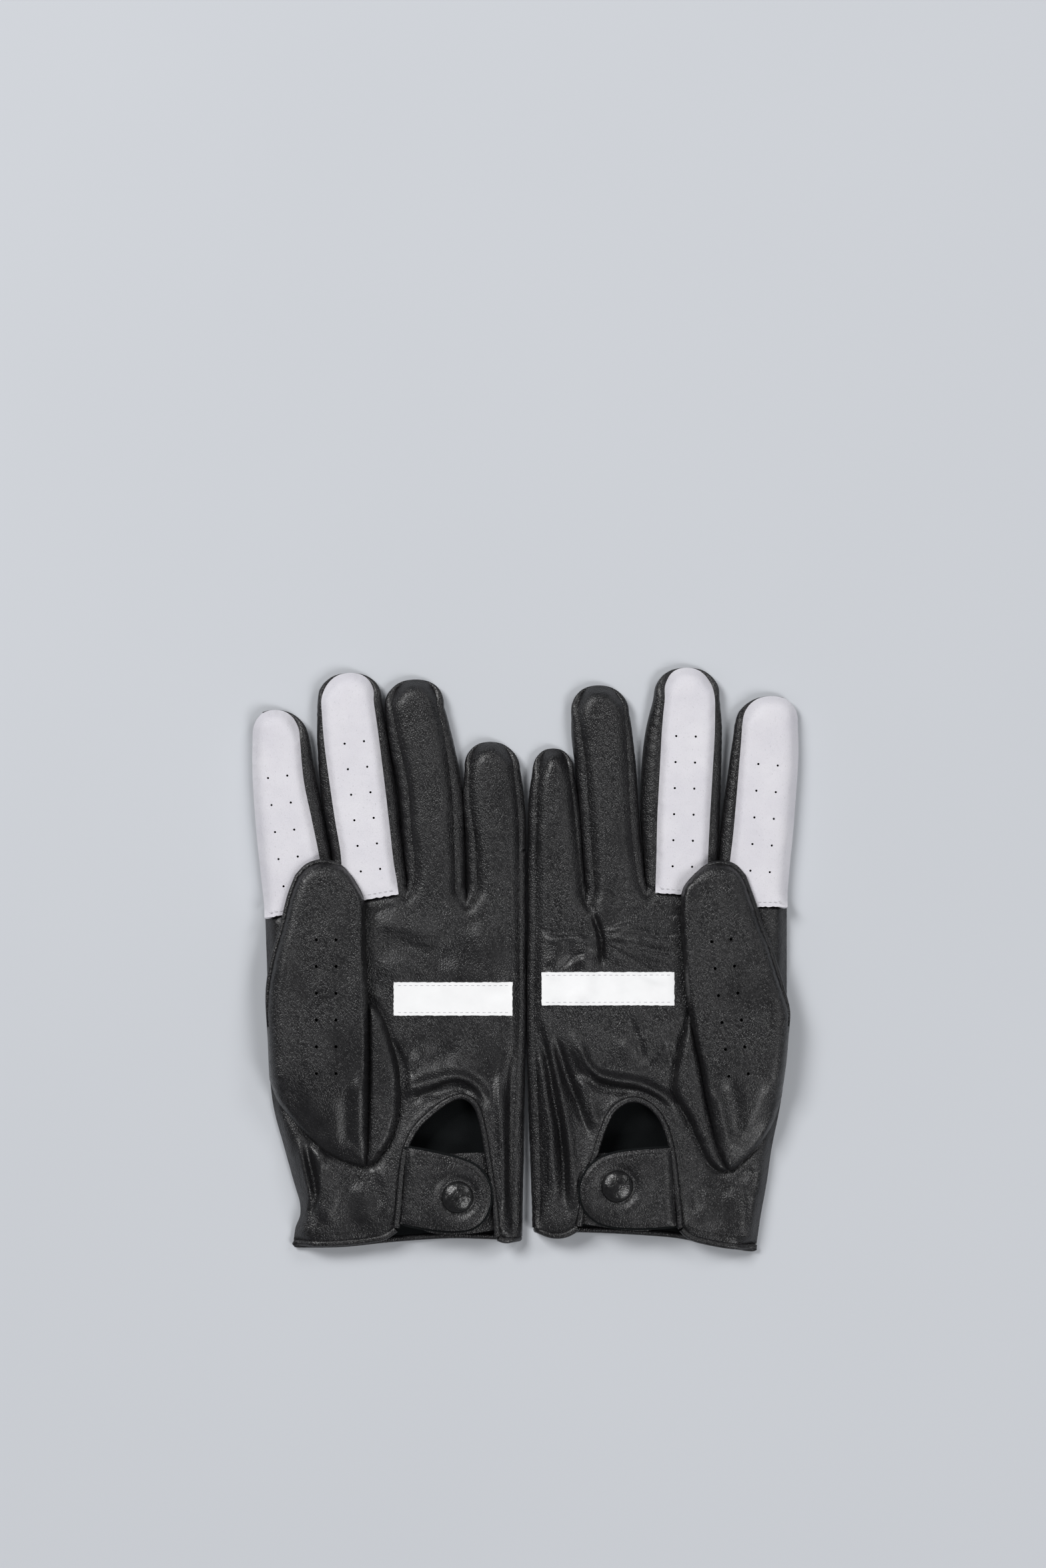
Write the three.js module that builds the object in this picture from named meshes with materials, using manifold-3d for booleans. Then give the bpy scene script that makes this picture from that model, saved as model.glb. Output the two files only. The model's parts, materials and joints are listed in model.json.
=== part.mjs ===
// A pair of short leather driving gloves, lying flat on their backs with the palms up.
// Units are millimetres. +Z is up, +Y runs from the cuffs to the fingertips, and the origin is the middle
// of the pair on the surface that it lies on. Plan positions are given as [u, y]: u is the distance from
// the line between the two gloves, so the left glove stands at x = -u and the right glove at x = +u.
//
// Each glove is sewn from a back panel with turned-up sides, a palm panel with a thumb hole and an open
// vent, front panels on the index and middle fingers, fourchettes (the strips between the fingers), and a
// thumb. A strap with a press stud closes the vent. Every finger bends at its middle knuckle and the thumb
// lifts off the palm, so the leather is divided there. A real glove's leather runs on across those lines.
import * as THREE from 'three';
import { mergeVertices } from 'three/addons/utils/BufferGeometryUtils.js';
import Module from 'manifold-3d';

const wasm = await Module();
wasm.setup();

// ---- Driving dimensions ----
const LEATHER = 1.0; // one layer of leather
const GAP = 0.3; // clearance between two pieces that lie against each other
const HAND_ROOM = 8.0; // height of the space for the hand while the glove lies flat
const HINGE_GAP = 0.4; // clearance between the two halves of a piece that bends
const POINT_SPACING = 5.0; // distance between points along a curved edge
const VENT_POINTS = 30; // points round the vent

const WALL_LOW = LEATHER + GAP;
const PALM_LOW = LEATHER + HAND_ROOM;
const PALM_TOP = PALM_LOW + LEATHER;
const WALL_HIGH = PALM_LOW - GAP;

const THUMB_LOW = PALM_TOP + GAP;
const THUMB_TOP = THUMB_LOW + 8.0;
const BAND = { thickness: 0.4 }; // the stripe of white finish across the palm
const BINDING_RADIUS = 0.8; // the rolled leather edge round the vent and the cuff
const VENT_BINDING_Z = PALM_LOW + BINDING_RADIUS;

const UNDERLAP_TOP = WALL_HIGH;
const UNDERLAP_LOW = UNDERLAP_TOP - LEATHER;
const STRAP_LOW = VENT_BINDING_Z + BINDING_RADIUS + GAP;
const STRAP_TOP = STRAP_LOW + LEATHER;

const SNAP = {
  postR: 1.2,
  holeR: 1.6, // through the strap and the underlap
  studR: 1.9,
  studNeckR: 1.6,
  flangeR: 4.2,
  flangeThickness: 0.4,
  socketR: 4.8,
  socketHoleR: 2.4,
  capR: 6.6,
  capEdge: 0.6, // height of the cap's upright edge, below its dome
  capHeight: 2.4,
};

const ELASTIC = { thickness: 0.6, low: -97, high: -89, inner: 15, outer: 80 };

const finish = (name, color, roughness, metalness = 0) => (
  new THREE.MeshStandardMaterial({ name, color, roughness, metalness })
);
const BLACK_LEATHER = finish('black_leather', 0x29282a, 0.5);
const WHITE_SUEDE = finish('white_suede', 0xe6e4ea, 0.95);
const WHITE_COAT = finish('white_coat', 0xf7f7f8, 0.5);
const SNAP_METAL = finish('snap_metal', 0x3b3b40, 0.35, 0.9);
const BLACK_ELASTIC = finish('black_elastic', 0x18181a, 0.9);

// ---- The two gloves in plan ----
// A finger's front is the panel seen from above, and its back is the wider panel on the surface below.
// outer is the edge on the thumb's side and inner is the edge on the little finger's side, from base to tip.
// The index finger's two panels share their outer edge, where its side wall stands upright.
const LEFT = {
  sign: -1,
  fingers: {
    index: {
      tip: [98, 97.8],
      hingeY: 47,
      front: {
        outer: [[101.9, 17.7], [104, 36.4], [105.6, 52], [106.9, 72], [106.9, 86]],
        inner: [[77.5, 21], [80.3, 39], [83.5, 55], [86.6, 70], [88.1, 86]],
      },
      back: {
        inner: [[75.4, 21], [75.9, 39], [78.9, 55], [81.6, 70], [84.8, 86]],
      },
    },
    middle: {
      tip: [68.5, 112.3],
      hingeY: 53,
      front: {
        outer: [[72.2, 23], [72, 39], [74.5, 55], [76.4, 68], [78.8, 86], [79.8, 101]],
        inner: [[49.5, 27], [51.5, 38], [52.8, 49.4], [54.9, 67.6], [57.2, 86], [59.3, 101]],
      },
      back: {
        outer: [[74.7, 23], [75.2, 39], [78.2, 55], [80.2, 68], [80.9, 86], [80.8, 101]],
        inner: [[46.2, 27], [47.6, 38], [48.8, 49.4], [50.8, 67.6], [54.2, 86], [56.6, 101]],
      },
    },
    ring: {
      tip: [43, 109.7],
      hingeY: 52,
      front: {
        outer: [[43.4, 30], [43.2, 38], [44.5, 49.4], [45.8, 67.6], [49.7, 86], [52.3, 99]],
        inner: [[27.5, 27], [27.8, 38], [28.1, 49.4], [29.1, 67.6], [31.7, 86], [34.6, 99]],
      },
      back: {
        outer: [[45.5, 30], [46.8, 38], [48.1, 49.4], [50.1, 67.6], [53.5, 86], [54.6, 99]],
        inner: [[23.5, 27], [23.7, 38], [24.1, 49.4], [24.9, 67.6], [28.9, 86], [32.6, 99]],
      },
    },
    little: {
      tip: [13.8, 85.3],
      hingeY: 43,
      front: {
        outer: [[18.8, 27], [19.2, 38], [20, 49], [21.9, 62], [22, 74]],
        inner: [[2.6, 27], [2.6, 38], [2.6, 49], [3.3, 62], [4.8, 74]],
      },
      back: {
        outer: [[22.8, 27], [23, 38], [23.4, 49], [23.8, 62], [23.2, 74]],
        inner: [[0.6, 27], [0.6, 38], [0.6, 49], [1.0, 62], [2.8, 74]],
      },
    },
  },
  // the valley between two fingers, at the palm panel and at the back panel
  crotches: {
    index_middle: { front: [74.9, 18.4], back: [75.05, 20.5] },
    middle_ring: { front: [46.2, 24.2], back: [45.85, 26] },
    ring_little: { front: [23.1, 20.4], back: [23.15, 22.5] },
  },
  // the palm's edges from the finger bases down to the hem
  palmInner: [[2.6, 18], [2.4, 0], [2.4, -22], [3.6, -42], [4.8, -68], [5.4, -92], [5.2, -108]],
  backInner: [[0.6, 18], [0.6, 0], [0.6, -22], [0.6, -42], [0.7, -68], [1.2, -92], [1.6, -108]],
  palmOuter: [[101.6, 8], [101.1, -8], [100.9, -26], [100.4, -42], [98.6, -58], [94.6, -73],
    [91, -86], [88, -97.5], [90, -104.5], [90.8, -109.6]],
  backOuter: [[101.6, 8], [101.1, -8], [100.9, -26], [100.4, -42], [98.6, -58], [94.6, -73],
    [91, -86], [88, -97.5], [90, -104.5], [91.2, -110.6]],
  hemInner: [[5.2, -108], [8, -108.6], [10.6, -107.4]],
  hemOuter: [[50.6, -104], [55, -107], [64, -108.6], [77, -109.6], [90.8, -109.6]],
  hemBack: [[1.6, -108], [12, -107.4], [30, -107], [52, -108.4], [72, -110.4], [91.2, -110.6]],
  // the vent, from the hem on the little finger's side over the top to the hem on the thumb's side
  vent: [[10.6, -107.4], [11.6, -96], [13.2, -84.5], [14.8, -74], [16.6, -63.7], [19.2, -56.2], [24, -52.6],
    [30, -54], [37, -59], [43, -65], [47, -73], [48.8, -84], [49.8, -96], [50.6, -104]],
  // round the strap's free end, from one end of its sewn root to the other
  strap: [[46.9, -71.9], [36, -73.8], [25.5, -76.4], [18.6, -79.6], [14, -85.5], [12.8, -92.6], [15, -100],
    [20.8, -105], [30, -106], [40, -104.8], [49.2, -103]],
  underlap: [[8.6, -104.6], [22, -106.6], [34, -106.8], [41, -104.4], [44.4, -98], [45, -90], [43.6, -82],
    [40, -77.5], [30, -75.5], [13.6, -75]],
  snap: [26.5, -92],
  thumbHole: { centre: [76.5, -46], radii: [18.5, 25] },
  thumb: {
    hingeY: -22,
    outer: [[100.3, -22], [99.9, -10.4], [97.4, 2.6], [94.4, 13], [91.6, 24.5], [89.2, 31.6]],
    inner: [[61.1, -22], [61.6, -9], [62.2, 6], [62.6, 22], [65.4, 29]],
    tip: [78.3, 38.2],
    // [y, foot on the inner side, fold, foot on the outer side, height of the top]
    base: [
      [-22, 56, 61.2, 100.3, 18.3],
      [-35, 51.2, 61.2, 100.1, 18.3],
      [-50, 49.2, 61.2, 98.6, 17.4],
      [-62, 50.4, 61.2, 91.2, 15.6],
      [-72, 54, 61.4, 81.6, 13.6],
      [-78.8, 59, 62.6, 70, 12.2],
    ],
  },
  band: { inner: 5.2, outer: 51.5, low: -21.5, high: -8.5 },
};

const RIGHT = {
  sign: 1,
  fingers: {
    index: {
      tip: [96.2, 103.2],
      hingeY: 47,
      front: {
        outer: [[102.2, 22], [103.6, 39], [104.8, 51], [106.7, 78], [106.5, 92]],
        inner: [[78, 22], [79.8, 39], [81.2, 51], [83.5, 78], [84.6, 92]],
      },
      back: {
        inner: [[75.9, 22], [75.7, 39], [76.8, 56], [80, 77], [82.4, 92]],
      },
    },
    middle: {
      tip: [63, 114.3],
      hingeY: 53,
      front: {
        outer: [[71, 26], [71.2, 39], [72, 56], [73.1, 75], [73.9, 90], [73.9, 102]],
        inner: [[50.6, 27.5], [51, 39], [51.4, 56], [52.4, 75], [53.2, 90], [54.3, 102]],
      },
      back: {
        outer: [[74.5, 26], [74.9, 39], [75.6, 56], [76.2, 75], [76.1, 90], [75.2, 102]],
        inner: [[47.4, 27.5], [46.3, 39], [44.9, 56], [45.3, 75], [47, 90], [50, 102]],
      },
    },
    ring: {
      tip: [28.6, 107.4],
      hingeY: 52,
      front: {
        outer: [[43.8, 31], [42.6, 39], [41, 52], [39.9, 75], [39.3, 87], [38.6, 96]],
        inner: [[27, 27], [26.2, 39], [25.2, 52], [23.7, 75], [22.1, 87], [20.6, 96]],
      },
      back: {
        outer: [[46.2, 31], [45.5, 39], [44.1, 54], [42.9, 75], [41.2, 87], [39.9, 96]],
        inner: [[23.9, 27], [22.6, 39], [21.5, 54], [19.5, 75], [18.1, 87], [18.5, 96]],
      },
    },
    little: {
      tip: [10.8, 82.7],
      hingeY: 43,
      front: {
        outer: [[22, 27], [20.8, 39], [19.5, 52], [18.4, 64], [17, 73]],
        inner: [[4, 27], [4, 39], [4.3, 52], [4.6, 64], [5.4, 73]],
      },
      back: {
        outer: [[23.1, 27], [21.9, 39], [20.7, 54], [19.7, 64], [18.2, 73]],
        inner: [[1.2, 27], [1.1, 39], [1.3, 52], [1.7, 64], [3.1, 73]],
      },
    },
  },
  crotches: {
    index_middle: { front: [74.8, 20], back: [75.2, 22.5] },
    middle_ring: { front: [46.8, 24.8], back: [46.8, 26.8] },
    ring_little: { front: [24.4, 20], back: [23.6, 22.5] },
  },
  palmInner: [[4, 18], [3.6, 0], [3.4, -22], [4.2, -42], [5.4, -68], [5.8, -92], [5.2, -104.6]],
  backInner: [[1.2, 18], [1, 0], [0.8, -22], [1, -42], [1.6, -68], [2.6, -92], [3.4, -104.6]],
  palmOuter: [[102.2, 8], [102.2, -8], [102.2, -24], [101.6, -40], [99.6, -57], [96.4, -73], [94.2, -88],
    [92, -100], [90.4, -111.2]],
  backOuter: [[102.2, 8], [102.2, -8], [102.2, -24], [101.6, -40], [99.6, -57], [96.4, -73], [94.2, -88],
    [92, -100], [90.2, -112.4]],
  hemInner: [[5.2, -104.6], [11, -106.6], [17, -105.8], [20.4, -103.4]],
  hemOuter: [[60.6, -103.6], [64.5, -107.2], [74, -109.6], [82, -110.8], [90.4, -111.2]],
  hemBack: [[3.4, -104.6], [20, -104.6], [40, -105.4], [60, -107], [76, -110.4], [90.2, -112.4]],
  vent: [[20.4, -103.4], [22, -94], [24.4, -84], [27, -74.5], [29.9, -65.4], [33.4, -58.4], [38.4, -54.6],
    [43, -53.8], [48, -55.8], [52.6, -60.4], [55.8, -67.6], [57.8, -77], [59.2, -90], [60.6, -103.6]],
  strap: [[57, -72.1], [44.7, -72.8], [34.3, -74.3], [27.2, -77.2], [22.2, -82.8], [20.4, -89.6], [22, -96.6],
    [26.8, -101.8], [33.6, -104.2], [45, -104.9], [59.2, -104]],
  underlap: [[19, -102.2], [34, -104.6], [46, -105.6], [52.4, -103.4], [55, -97.5], [55, -88], [53, -79.5],
    [48.5, -75.8], [40, -75], [25, -75.4]],
  snap: [35.6, -87.8],
  thumbHole: { centre: [81, -49], radii: [16, 24] },
  thumb: {
    hingeY: -23,
    outer: [[102.9, -23], [101, -16], [96.8, -5.2], [92.8, 9], [88.9, 20], [85.6, 30.4]],
    inner: [[64.2, -23], [62.6, -13], [61.3, 0], [60.4, 12], [60.6, 23], [62.6, 30]],
    tip: [74.2, 38.2],
    base: [
      [-23, 62.6, 64.2, 102.9, 18.3],
      [-35, 59.2, 66.3, 102.1, 18.3],
      [-48, 57.4, 68.8, 100.9, 17.4],
      [-60, 61, 71.3, 97.4, 15.6],
      [-70, 65.6, 74, 91.4, 13.6],
      [-79, 71.6, 76.8, 81.4, 12.2],
    ],
  },
  band: { inner: 6.2, outer: 58, low: -17.5, high: -4.5 },
};

// ---- Plan curves ----
const lerp = (a, b, t) => a.map((v, i) => v + (b[i] - v) * t);
const distance = (a, b) => Math.hypot(a[0] - b[0], a[1] - b[1]);

// Points along a smooth curve through the given points: count of them, or one every POINT_SPACING.
function smooth(points, count) {
  const curve = new THREE.SplineCurve(points.map(([u, y]) => new THREE.Vector2(u, y)));
  const steps = count ? count - 1 : Math.max(2, Math.round(curve.getLength() / POINT_SPACING));
  return curve.getSpacedPoints(steps).map((p) => [p.x, p.y]);
}

const EDGE_SAMPLES = 200; // close enough together that straight lines join them

// The point of an edge at one height up the glove.
function pointAt(edge, y) {
  const samples = smooth(edge, EDGE_SAMPLES);
  const above = samples.findIndex((p) => p[1] >= y);
  const i = above < 0 ? EDGE_SAMPLES - 2 : Math.max(0, above - 1);
  const [a, b] = [samples[i], samples[i + 1]];
  return lerp(a, b, (y - a[1]) / (b[1] - a[1]));
}

// The stretch of an edge between two heights up the glove.
function between(edge, low, high, count) {
  return Array.from({ length: count }, (_, k) => pointAt(edge, low + ((high - low) * k) / (count - 1)));
}

// Unit vectors at right angles to a path, on its left.
function normals(path) {
  return path.map((_, i) => {
    const a = path[Math.max(0, i - 1)];
    const b = path[Math.min(path.length - 1, i + 1)];
    const length = distance(a, b);
    return [-(b[1] - a[1]) / length, (b[0] - a[0]) / length];
  });
}

function offset(path, amount) {
  const n = normals(path);
  return path.map((p, i) => [p[0] + n[i][0] * amount, p[1] + n[i][1] * amount]);
}

// A rounded fingertip from the end of one edge over the tip to the end of the other, without its end points.
function tipArc(from, tip, to, count = 9) {
  const middle = lerp(from, to, 0.5);
  const across = [(to[0] - from[0]) / 2, (to[1] - from[1]) / 2];
  const up = [tip[0] - middle[0], tip[1] - middle[1]];
  const roundness = 2 / 2.25;
  return Array.from({ length: count }, (_, i) => {
    const angle = (Math.PI * (i + 1)) / (count + 1);
    const c = -Math.sign(Math.cos(angle)) * Math.abs(Math.cos(angle)) ** roundness;
    const s = Math.sin(angle) ** roundness;
    return [middle[0] + across[0] * c + up[0] * s, middle[1] + across[1] * c + up[1] * s];
  });
}

// ---- Solids ----
function solidOf(geometry) {
  const plain = geometry.clone();
  plain.deleteAttribute('normal');
  plain.deleteAttribute('uv');
  const merged = mergeVertices(plain, 1e-4);
  return new wasm.Manifold(new wasm.Mesh({
    numProp: 3,
    vertProperties: new Float32Array(merged.attributes.position.array),
    triVerts: new Uint32Array(merged.index.array),
  }));
}

function geometryOf(solid) {
  const mesh = solid.getMesh();
  const geometry = new THREE.BufferGeometry();
  geometry.setAttribute('position', new THREE.BufferAttribute(new Float32Array(mesh.vertProperties), 3));
  geometry.setIndex(new THREE.BufferAttribute(new Uint32Array(mesh.triVerts), 1));
  geometry.computeVertexNormals();
  return geometry;
}

// A flat piece from one height to another, with or without a hole.
function plate(outline, low, high, hole) {
  const shape = new THREE.Shape(outline.map(([x, y]) => new THREE.Vector2(x, y)));
  const geometry = new THREE.ExtrudeGeometry(shape, { depth: high - low, bevelEnabled: false });
  const solid = solidOf(geometry.translate(0, 0, low));
  return hole ? solid.subtract(plate(hole, low - LEATHER, high + LEATHER)) : solid;
}

// A closed solid through sections that all have the same number of corners.
function loft(sections) {
  const corners = sections[0].length;
  const positions = sections.flat(2);
  const index = [];
  for (let first = 0; first < (sections.length - 1) * corners; first += corners) {
    for (let c = 0; c < corners; c++) {
      const next = (c + 1) % corners;
      const [a, b] = [first + c, first + next];
      index.push(a, b, b + corners, a, b + corners, a + corners);
    }
  }
  const ends = THREE.ShapeUtils.triangulateShape(flatSection(sections[0]), []);
  const last = (sections.length - 1) * corners;
  for (const [a, b, c] of ends) index.push(c, b, a, last + a, last + b, last + c);
  if (signedVolume(positions, index) < 0) {
    for (let i = 0; i < index.length; i += 3) [index[i + 1], index[i + 2]] = [index[i + 2], index[i + 1]];
  }
  const geometry = new THREE.BufferGeometry();
  geometry.setAttribute('position', new THREE.Float32BufferAttribute(positions, 3));
  geometry.setIndex(index);
  return solidOf(geometry);
}

// A section's corners in its own plane, so that its end can be closed with triangles.
function flatSection(section) {
  const points = section.map((p) => new THREE.Vector3(...p));
  const normal = new THREE.Vector3();
  points.forEach((p, i) => normal.add(p.clone().cross(points[(i + 1) % points.length])));
  const turn = new THREE.Quaternion().setFromUnitVectors(normal.normalize(), new THREE.Vector3(0, 0, 1));
  return points.map((p) => {
    const q = p.applyQuaternion(turn);
    return new THREE.Vector2(q.x, q.y);
  });
}

function signedVolume(positions, index) {
  const at = (i) => new THREE.Vector3(positions[3 * i], positions[3 * i + 1], positions[3 * i + 2]);
  let volume = 0;
  for (let i = 0; i < index.length; i += 3) {
    const [a, b, c] = index.slice(i, i + 3).map(at);
    volume += a.dot(b.cross(c));
  }
  return volume;
}

// A strip of leather standing between two paths, thickened to the left (1) or to the right (-1) of them.
function wall(topPath, bottomPath, low, high, side) {
  const topIn = offset(topPath, side * LEATHER);
  const bottomIn = offset(bottomPath, side * LEATHER);
  return loft(topPath.map((p, i) => (
    [[...p, high], [...topIn[i], high], [...bottomIn[i], low], [...bottomPath[i], low]]
  )));
}

// A rolled edge: a six-sided bead along a path of [x, y, z] points.
function bead(points, radius) {
  const sides = 6;
  const path = points.map((p) => new THREE.Vector3(...p));
  return loft(path.map((p, i) => {
    const along = path[Math.min(i + 1, path.length - 1)].clone().sub(path[Math.max(i - 1, 0)]).normalize();
    const steady = new THREE.Vector3(0, 0.94, 0.34); // no stretch of the edges runs this way
    const side = along.clone().cross(steady).normalize();
    const up = side.clone().cross(along);
    return Array.from({ length: sides }, (_, k) => {
      const angle = (2 * Math.PI * (k + 0.5)) / sides;
      const [across, rise] = [radius * Math.cos(angle), radius * Math.sin(angle)];
      return p.clone().addScaledVector(side, across).addScaledVector(up, rise).toArray();
    });
  }));
}

function turned(profile, [x, y]) {
  const geometry = new THREE.LatheGeometry(profile.map(([r, z]) => new THREE.Vector2(r, z)), 20);
  return solidOf(geometry.rotateX(Math.PI / 2).translate(x, y, 0));
}

const circle = ([x, y], radiusX, radiusY, count) => Array.from({ length: count }, (_, i) => {
  const angle = (2 * Math.PI * i) / count;
  return [x + radiusX * Math.cos(angle), y + radiusY * Math.sin(angle)];
});

// ---- Fingers ----
const TIP_FROM_BEND = 9; // points along each side of a finger beyond its bend
const BASE_TO_BEND = 7; // points along each side of a finger below its bend

const outerOf = (finger, panel) => finger[panel].outer ?? finger.front.outer;

// The bend is square to the finger, so its height up the glove changes from edge to edge.
function bendAt(finger, edge) {
  const { hingeY, tip, front } = finger;
  const centre = lerp(pointAt(front.outer, hingeY), pointAt(front.inner, hingeY), 0.5);
  const slope = -(tip[0] - centre[0]) / (tip[1] - centre[1]);
  return hingeY + slope * (pointAt(edge, hingeY)[0] - centre[0]);
}

function aboveBend(finger, edge) {
  const end = edge[edge.length - 1][1];
  return between(edge, bendAt(finger, edge) + HINGE_GAP / 2, end, TIP_FROM_BEND);
}

function belowBend(finger, edge, from = edge[0][1]) {
  return between(edge, from, bendAt(finger, edge) - HINGE_GAP / 2, BASE_TO_BEND);
}

// The outline of a finger's panel beyond its bend: up the outer edge, over the tip and down the inner edge.
function fingerOutline(finger, panel) {
  const up = aboveBend(finger, outerOf(finger, panel));
  const down = aboveBend(finger, finger[panel].inner).reverse();
  return [...up, ...tipArc(up[up.length - 1], finger.tip, down[0]), ...down];
}

const placed = (glove, path) => path.map(([u, y]) => [glove.sign * u, y]);
// The left glove is a mirror image, so the left of a path becomes its right there.
const sideOf = (glove, side) => glove.sign * side;

function fingerParts(glove, finger) {
  const front = placed(glove, fingerOutline(finger, 'front'));
  const back = placed(glove, fingerOutline(finger, 'back'));
  return {
    front: plate(front, PALM_LOW, PALM_TOP),
    side: wall(front, back, WALL_LOW, WALL_HIGH, sideOf(glove, 1)),
    back: plate(back, 0, LEATHER),
  };
}

// The front panel of the index or middle finger between the palm and the bend.
function frontBase(glove, finger) {
  const { outer, inner } = finger.front;
  const up = belowBend(finger, outer, outer[0][1] + GAP);
  const down = belowBend(finger, inner, inner[0][1] + GAP).reverse();
  return plate(placed(glove, [...up, ...down]), PALM_LOW, PALM_TOP);
}

// A rounded valley between two fingers, from one finger's inner edge to the next one's outer edge.
const CROTCH_POINTS = 7;

function crotchTurn(glove, from, to, panel) {
  const inner = glove.fingers[from][panel].inner[0];
  const outer = outerOf(glove.fingers[to], panel)[0];
  return smooth([inner, glove.crotches[`${from}_${to}`][panel], outer], CROTCH_POINTS).slice(1, -1);
}

// The strip between two fingers: down one finger, round the crotch and up the next one.
function fourchette(glove, from, to) {
  const { [from]: first, [to]: next } = glove.fingers;
  const path = (panel) => placed(glove, [
    ...belowBend(first, first[panel].inner).reverse(),
    ...crotchTurn(glove, from, to, panel),
    ...belowBend(next, outerOf(next, panel)),
  ]);
  return wall(path('front'), path('back'), WALL_LOW, WALL_HIGH, sideOf(glove, 1));
}

// ---- Palm and back ----
// The palm panel runs on into the ring and little fingers, and the other two have fronts of their own.
function palmPanel(glove) {
  const { index, middle, ring, little } = glove.fingers;
  const outline = [
    index.front.outer[0],
    index.front.inner[0],
    ...crotchTurn(glove, 'index', 'middle', 'front'),
    middle.front.outer[0],
    middle.front.inner[0],
    ...crotchTurn(glove, 'middle', 'ring', 'front'),
    ...belowBend(ring, ring.front.outer),
    ...belowBend(ring, ring.front.inner).reverse(),
    ...crotchTurn(glove, 'ring', 'little', 'front'),
    ...belowBend(little, little.front.outer),
    ...belowBend(little, little.front.inner).reverse(),
    ...smooth(glove.palmInner),
    ...smooth(glove.hemInner).slice(1),
    ...smooth(glove.vent, VENT_POINTS).slice(1),
    ...smooth(glove.hemOuter).slice(1),
    ...smooth(glove.palmOuter).reverse().slice(1),
  ];
  const { centre, radii } = glove.thumbHole;
  return plate(placed(glove, outline), PALM_LOW, PALM_TOP, placed(glove, circle(centre, ...radii, 24)));
}

// The back panel turns up at the glove's two sides to meet the palm.
function backPanel(glove) {
  const { index, middle, ring, little } = glove.fingers;
  const outerSide = [...smooth(glove.backOuter).reverse(), ...belowBend(index, index.front.outer)];
  const innerBack = smooth(glove.backInner);
  const innerSide = [...belowBend(little, little.back.inner).reverse(), ...innerBack];
  const innerPalm = smooth(glove.palmInner, innerBack.length);
  const innerTop = [...belowBend(little, little.front.inner).reverse(), ...innerPalm];
  const outline = [
    ...outerSide,
    ...belowBend(index, index.back.inner).reverse(),
    ...crotchTurn(glove, 'index', 'middle', 'back'),
    ...belowBend(middle, middle.back.outer),
    ...belowBend(middle, middle.back.inner).reverse(),
    ...crotchTurn(glove, 'middle', 'ring', 'back'),
    ...belowBend(ring, ring.back.outer),
    ...belowBend(ring, ring.back.inner).reverse(),
    ...crotchTurn(glove, 'ring', 'little', 'back'),
    ...belowBend(little, little.back.outer),
    ...innerSide,
    ...smooth(glove.hemBack).slice(1, -1),
  ];
  const turnUp = (bottom, top) => (
    wall(placed(glove, top), placed(glove, bottom), 0, WALL_HIGH, sideOf(glove, 1))
  );
  return plate(placed(glove, outline), 0, LEATHER)
    .add(turnUp(outerSide, outerSide))
    .add(turnUp(innerSide, innerTop));
}

function strip(glove, { inner, outer, low, high, thickness }, bottom) {
  const outline = [[inner, low], [inner, high], [outer, high], [outer, low]];
  return plate(placed(glove, outline), bottom, bottom + thickness);
}

const palmBand = (glove) => strip(glove, { ...BAND, ...glove.band }, PALM_TOP + GAP);
const wristElastic = (glove) => strip(glove, ELASTIC, WALL_LOW);

// ---- Bound edges ----
const BINDING_STANDOFF = BINDING_RADIUS + GAP; // from a panel's edge to the middle of its binding
const CUFF_DROP = BINDING_STANDOFF + 0.5; // the same down the wrist, where the hem slants
const CORNER_BULGE = 0.4; // how far the cuff's binding swells out at the glove's sides

function ventBinding(glove) {
  const rim = offset(smooth(glove.vent, VENT_POINTS), -BINDING_STANDOFF);
  return bead(placed(glove, rim).map((p) => [...p, VENT_BINDING_Z]), BINDING_RADIUS);
}

// One bead runs from the vent along the palm's hem, round the back's hem and along the palm's hem again.
function cuffBinding(glove) {
  const drop = (path) => path.map(([u, y]) => [u, y - CUFF_DROP]);
  const palmInner = drop(smooth(glove.hemInner, 4)).reverse().slice(1);
  const back = drop(smooth(glove.hemBack, 14));
  const palmOuter = drop(smooth(glove.hemOuter, 9)).reverse().slice(0, -1);
  const palmZ = PALM_LOW + LEATHER / 2;
  const corner = ([u, y], outward) => [u + outward * CORNER_BULGE, y, PALM_TOP / 2];
  const path = [
    ...palmInner.map((p) => [...p, palmZ]),
    corner(back[0], -1),
    ...back.map((p) => [...p, BINDING_RADIUS]),
    corner(back[back.length - 1], 1),
    ...palmOuter.map((p) => [...p, palmZ]),
  ];
  return bead(path.map(([u, y, z]) => [glove.sign * u, y, z]), BINDING_RADIUS);
}

// ---- Thumb ----
// The thumb from its bend to its tip, open at the bend.
function thumbSleeve(glove) {
  const { outer, inner, tip, hingeY } = glove.thumb;
  const up = smooth(outer, 10);
  const down = smooth(inner, 10).reverse();
  const outline = [...up, ...tipArc(up[up.length - 1], tip, down[0], 11), ...down];
  const outside = outline.map(([u, y]) => [u, Math.max(y, hingeY + HINGE_GAP / 2)]);
  const mouth = hingeY + LEATHER / 2;
  const inside = offset(outline, LEATHER).map(([u, y]) => [u, y < mouth ? hingeY - LEATHER : y]);
  return plate(placed(glove, outside), THUMB_LOW, THUMB_TOP)
    .subtract(plate(placed(glove, inside), THUMB_LOW + LEATHER, THUMB_TOP - LEATHER));
}

// The part of the thumb round its hole: a vault that stands on the palm and gets lower towards the wrist.
const SHOULDER = 2.5; // how far the vault's outer wall leans in

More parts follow.
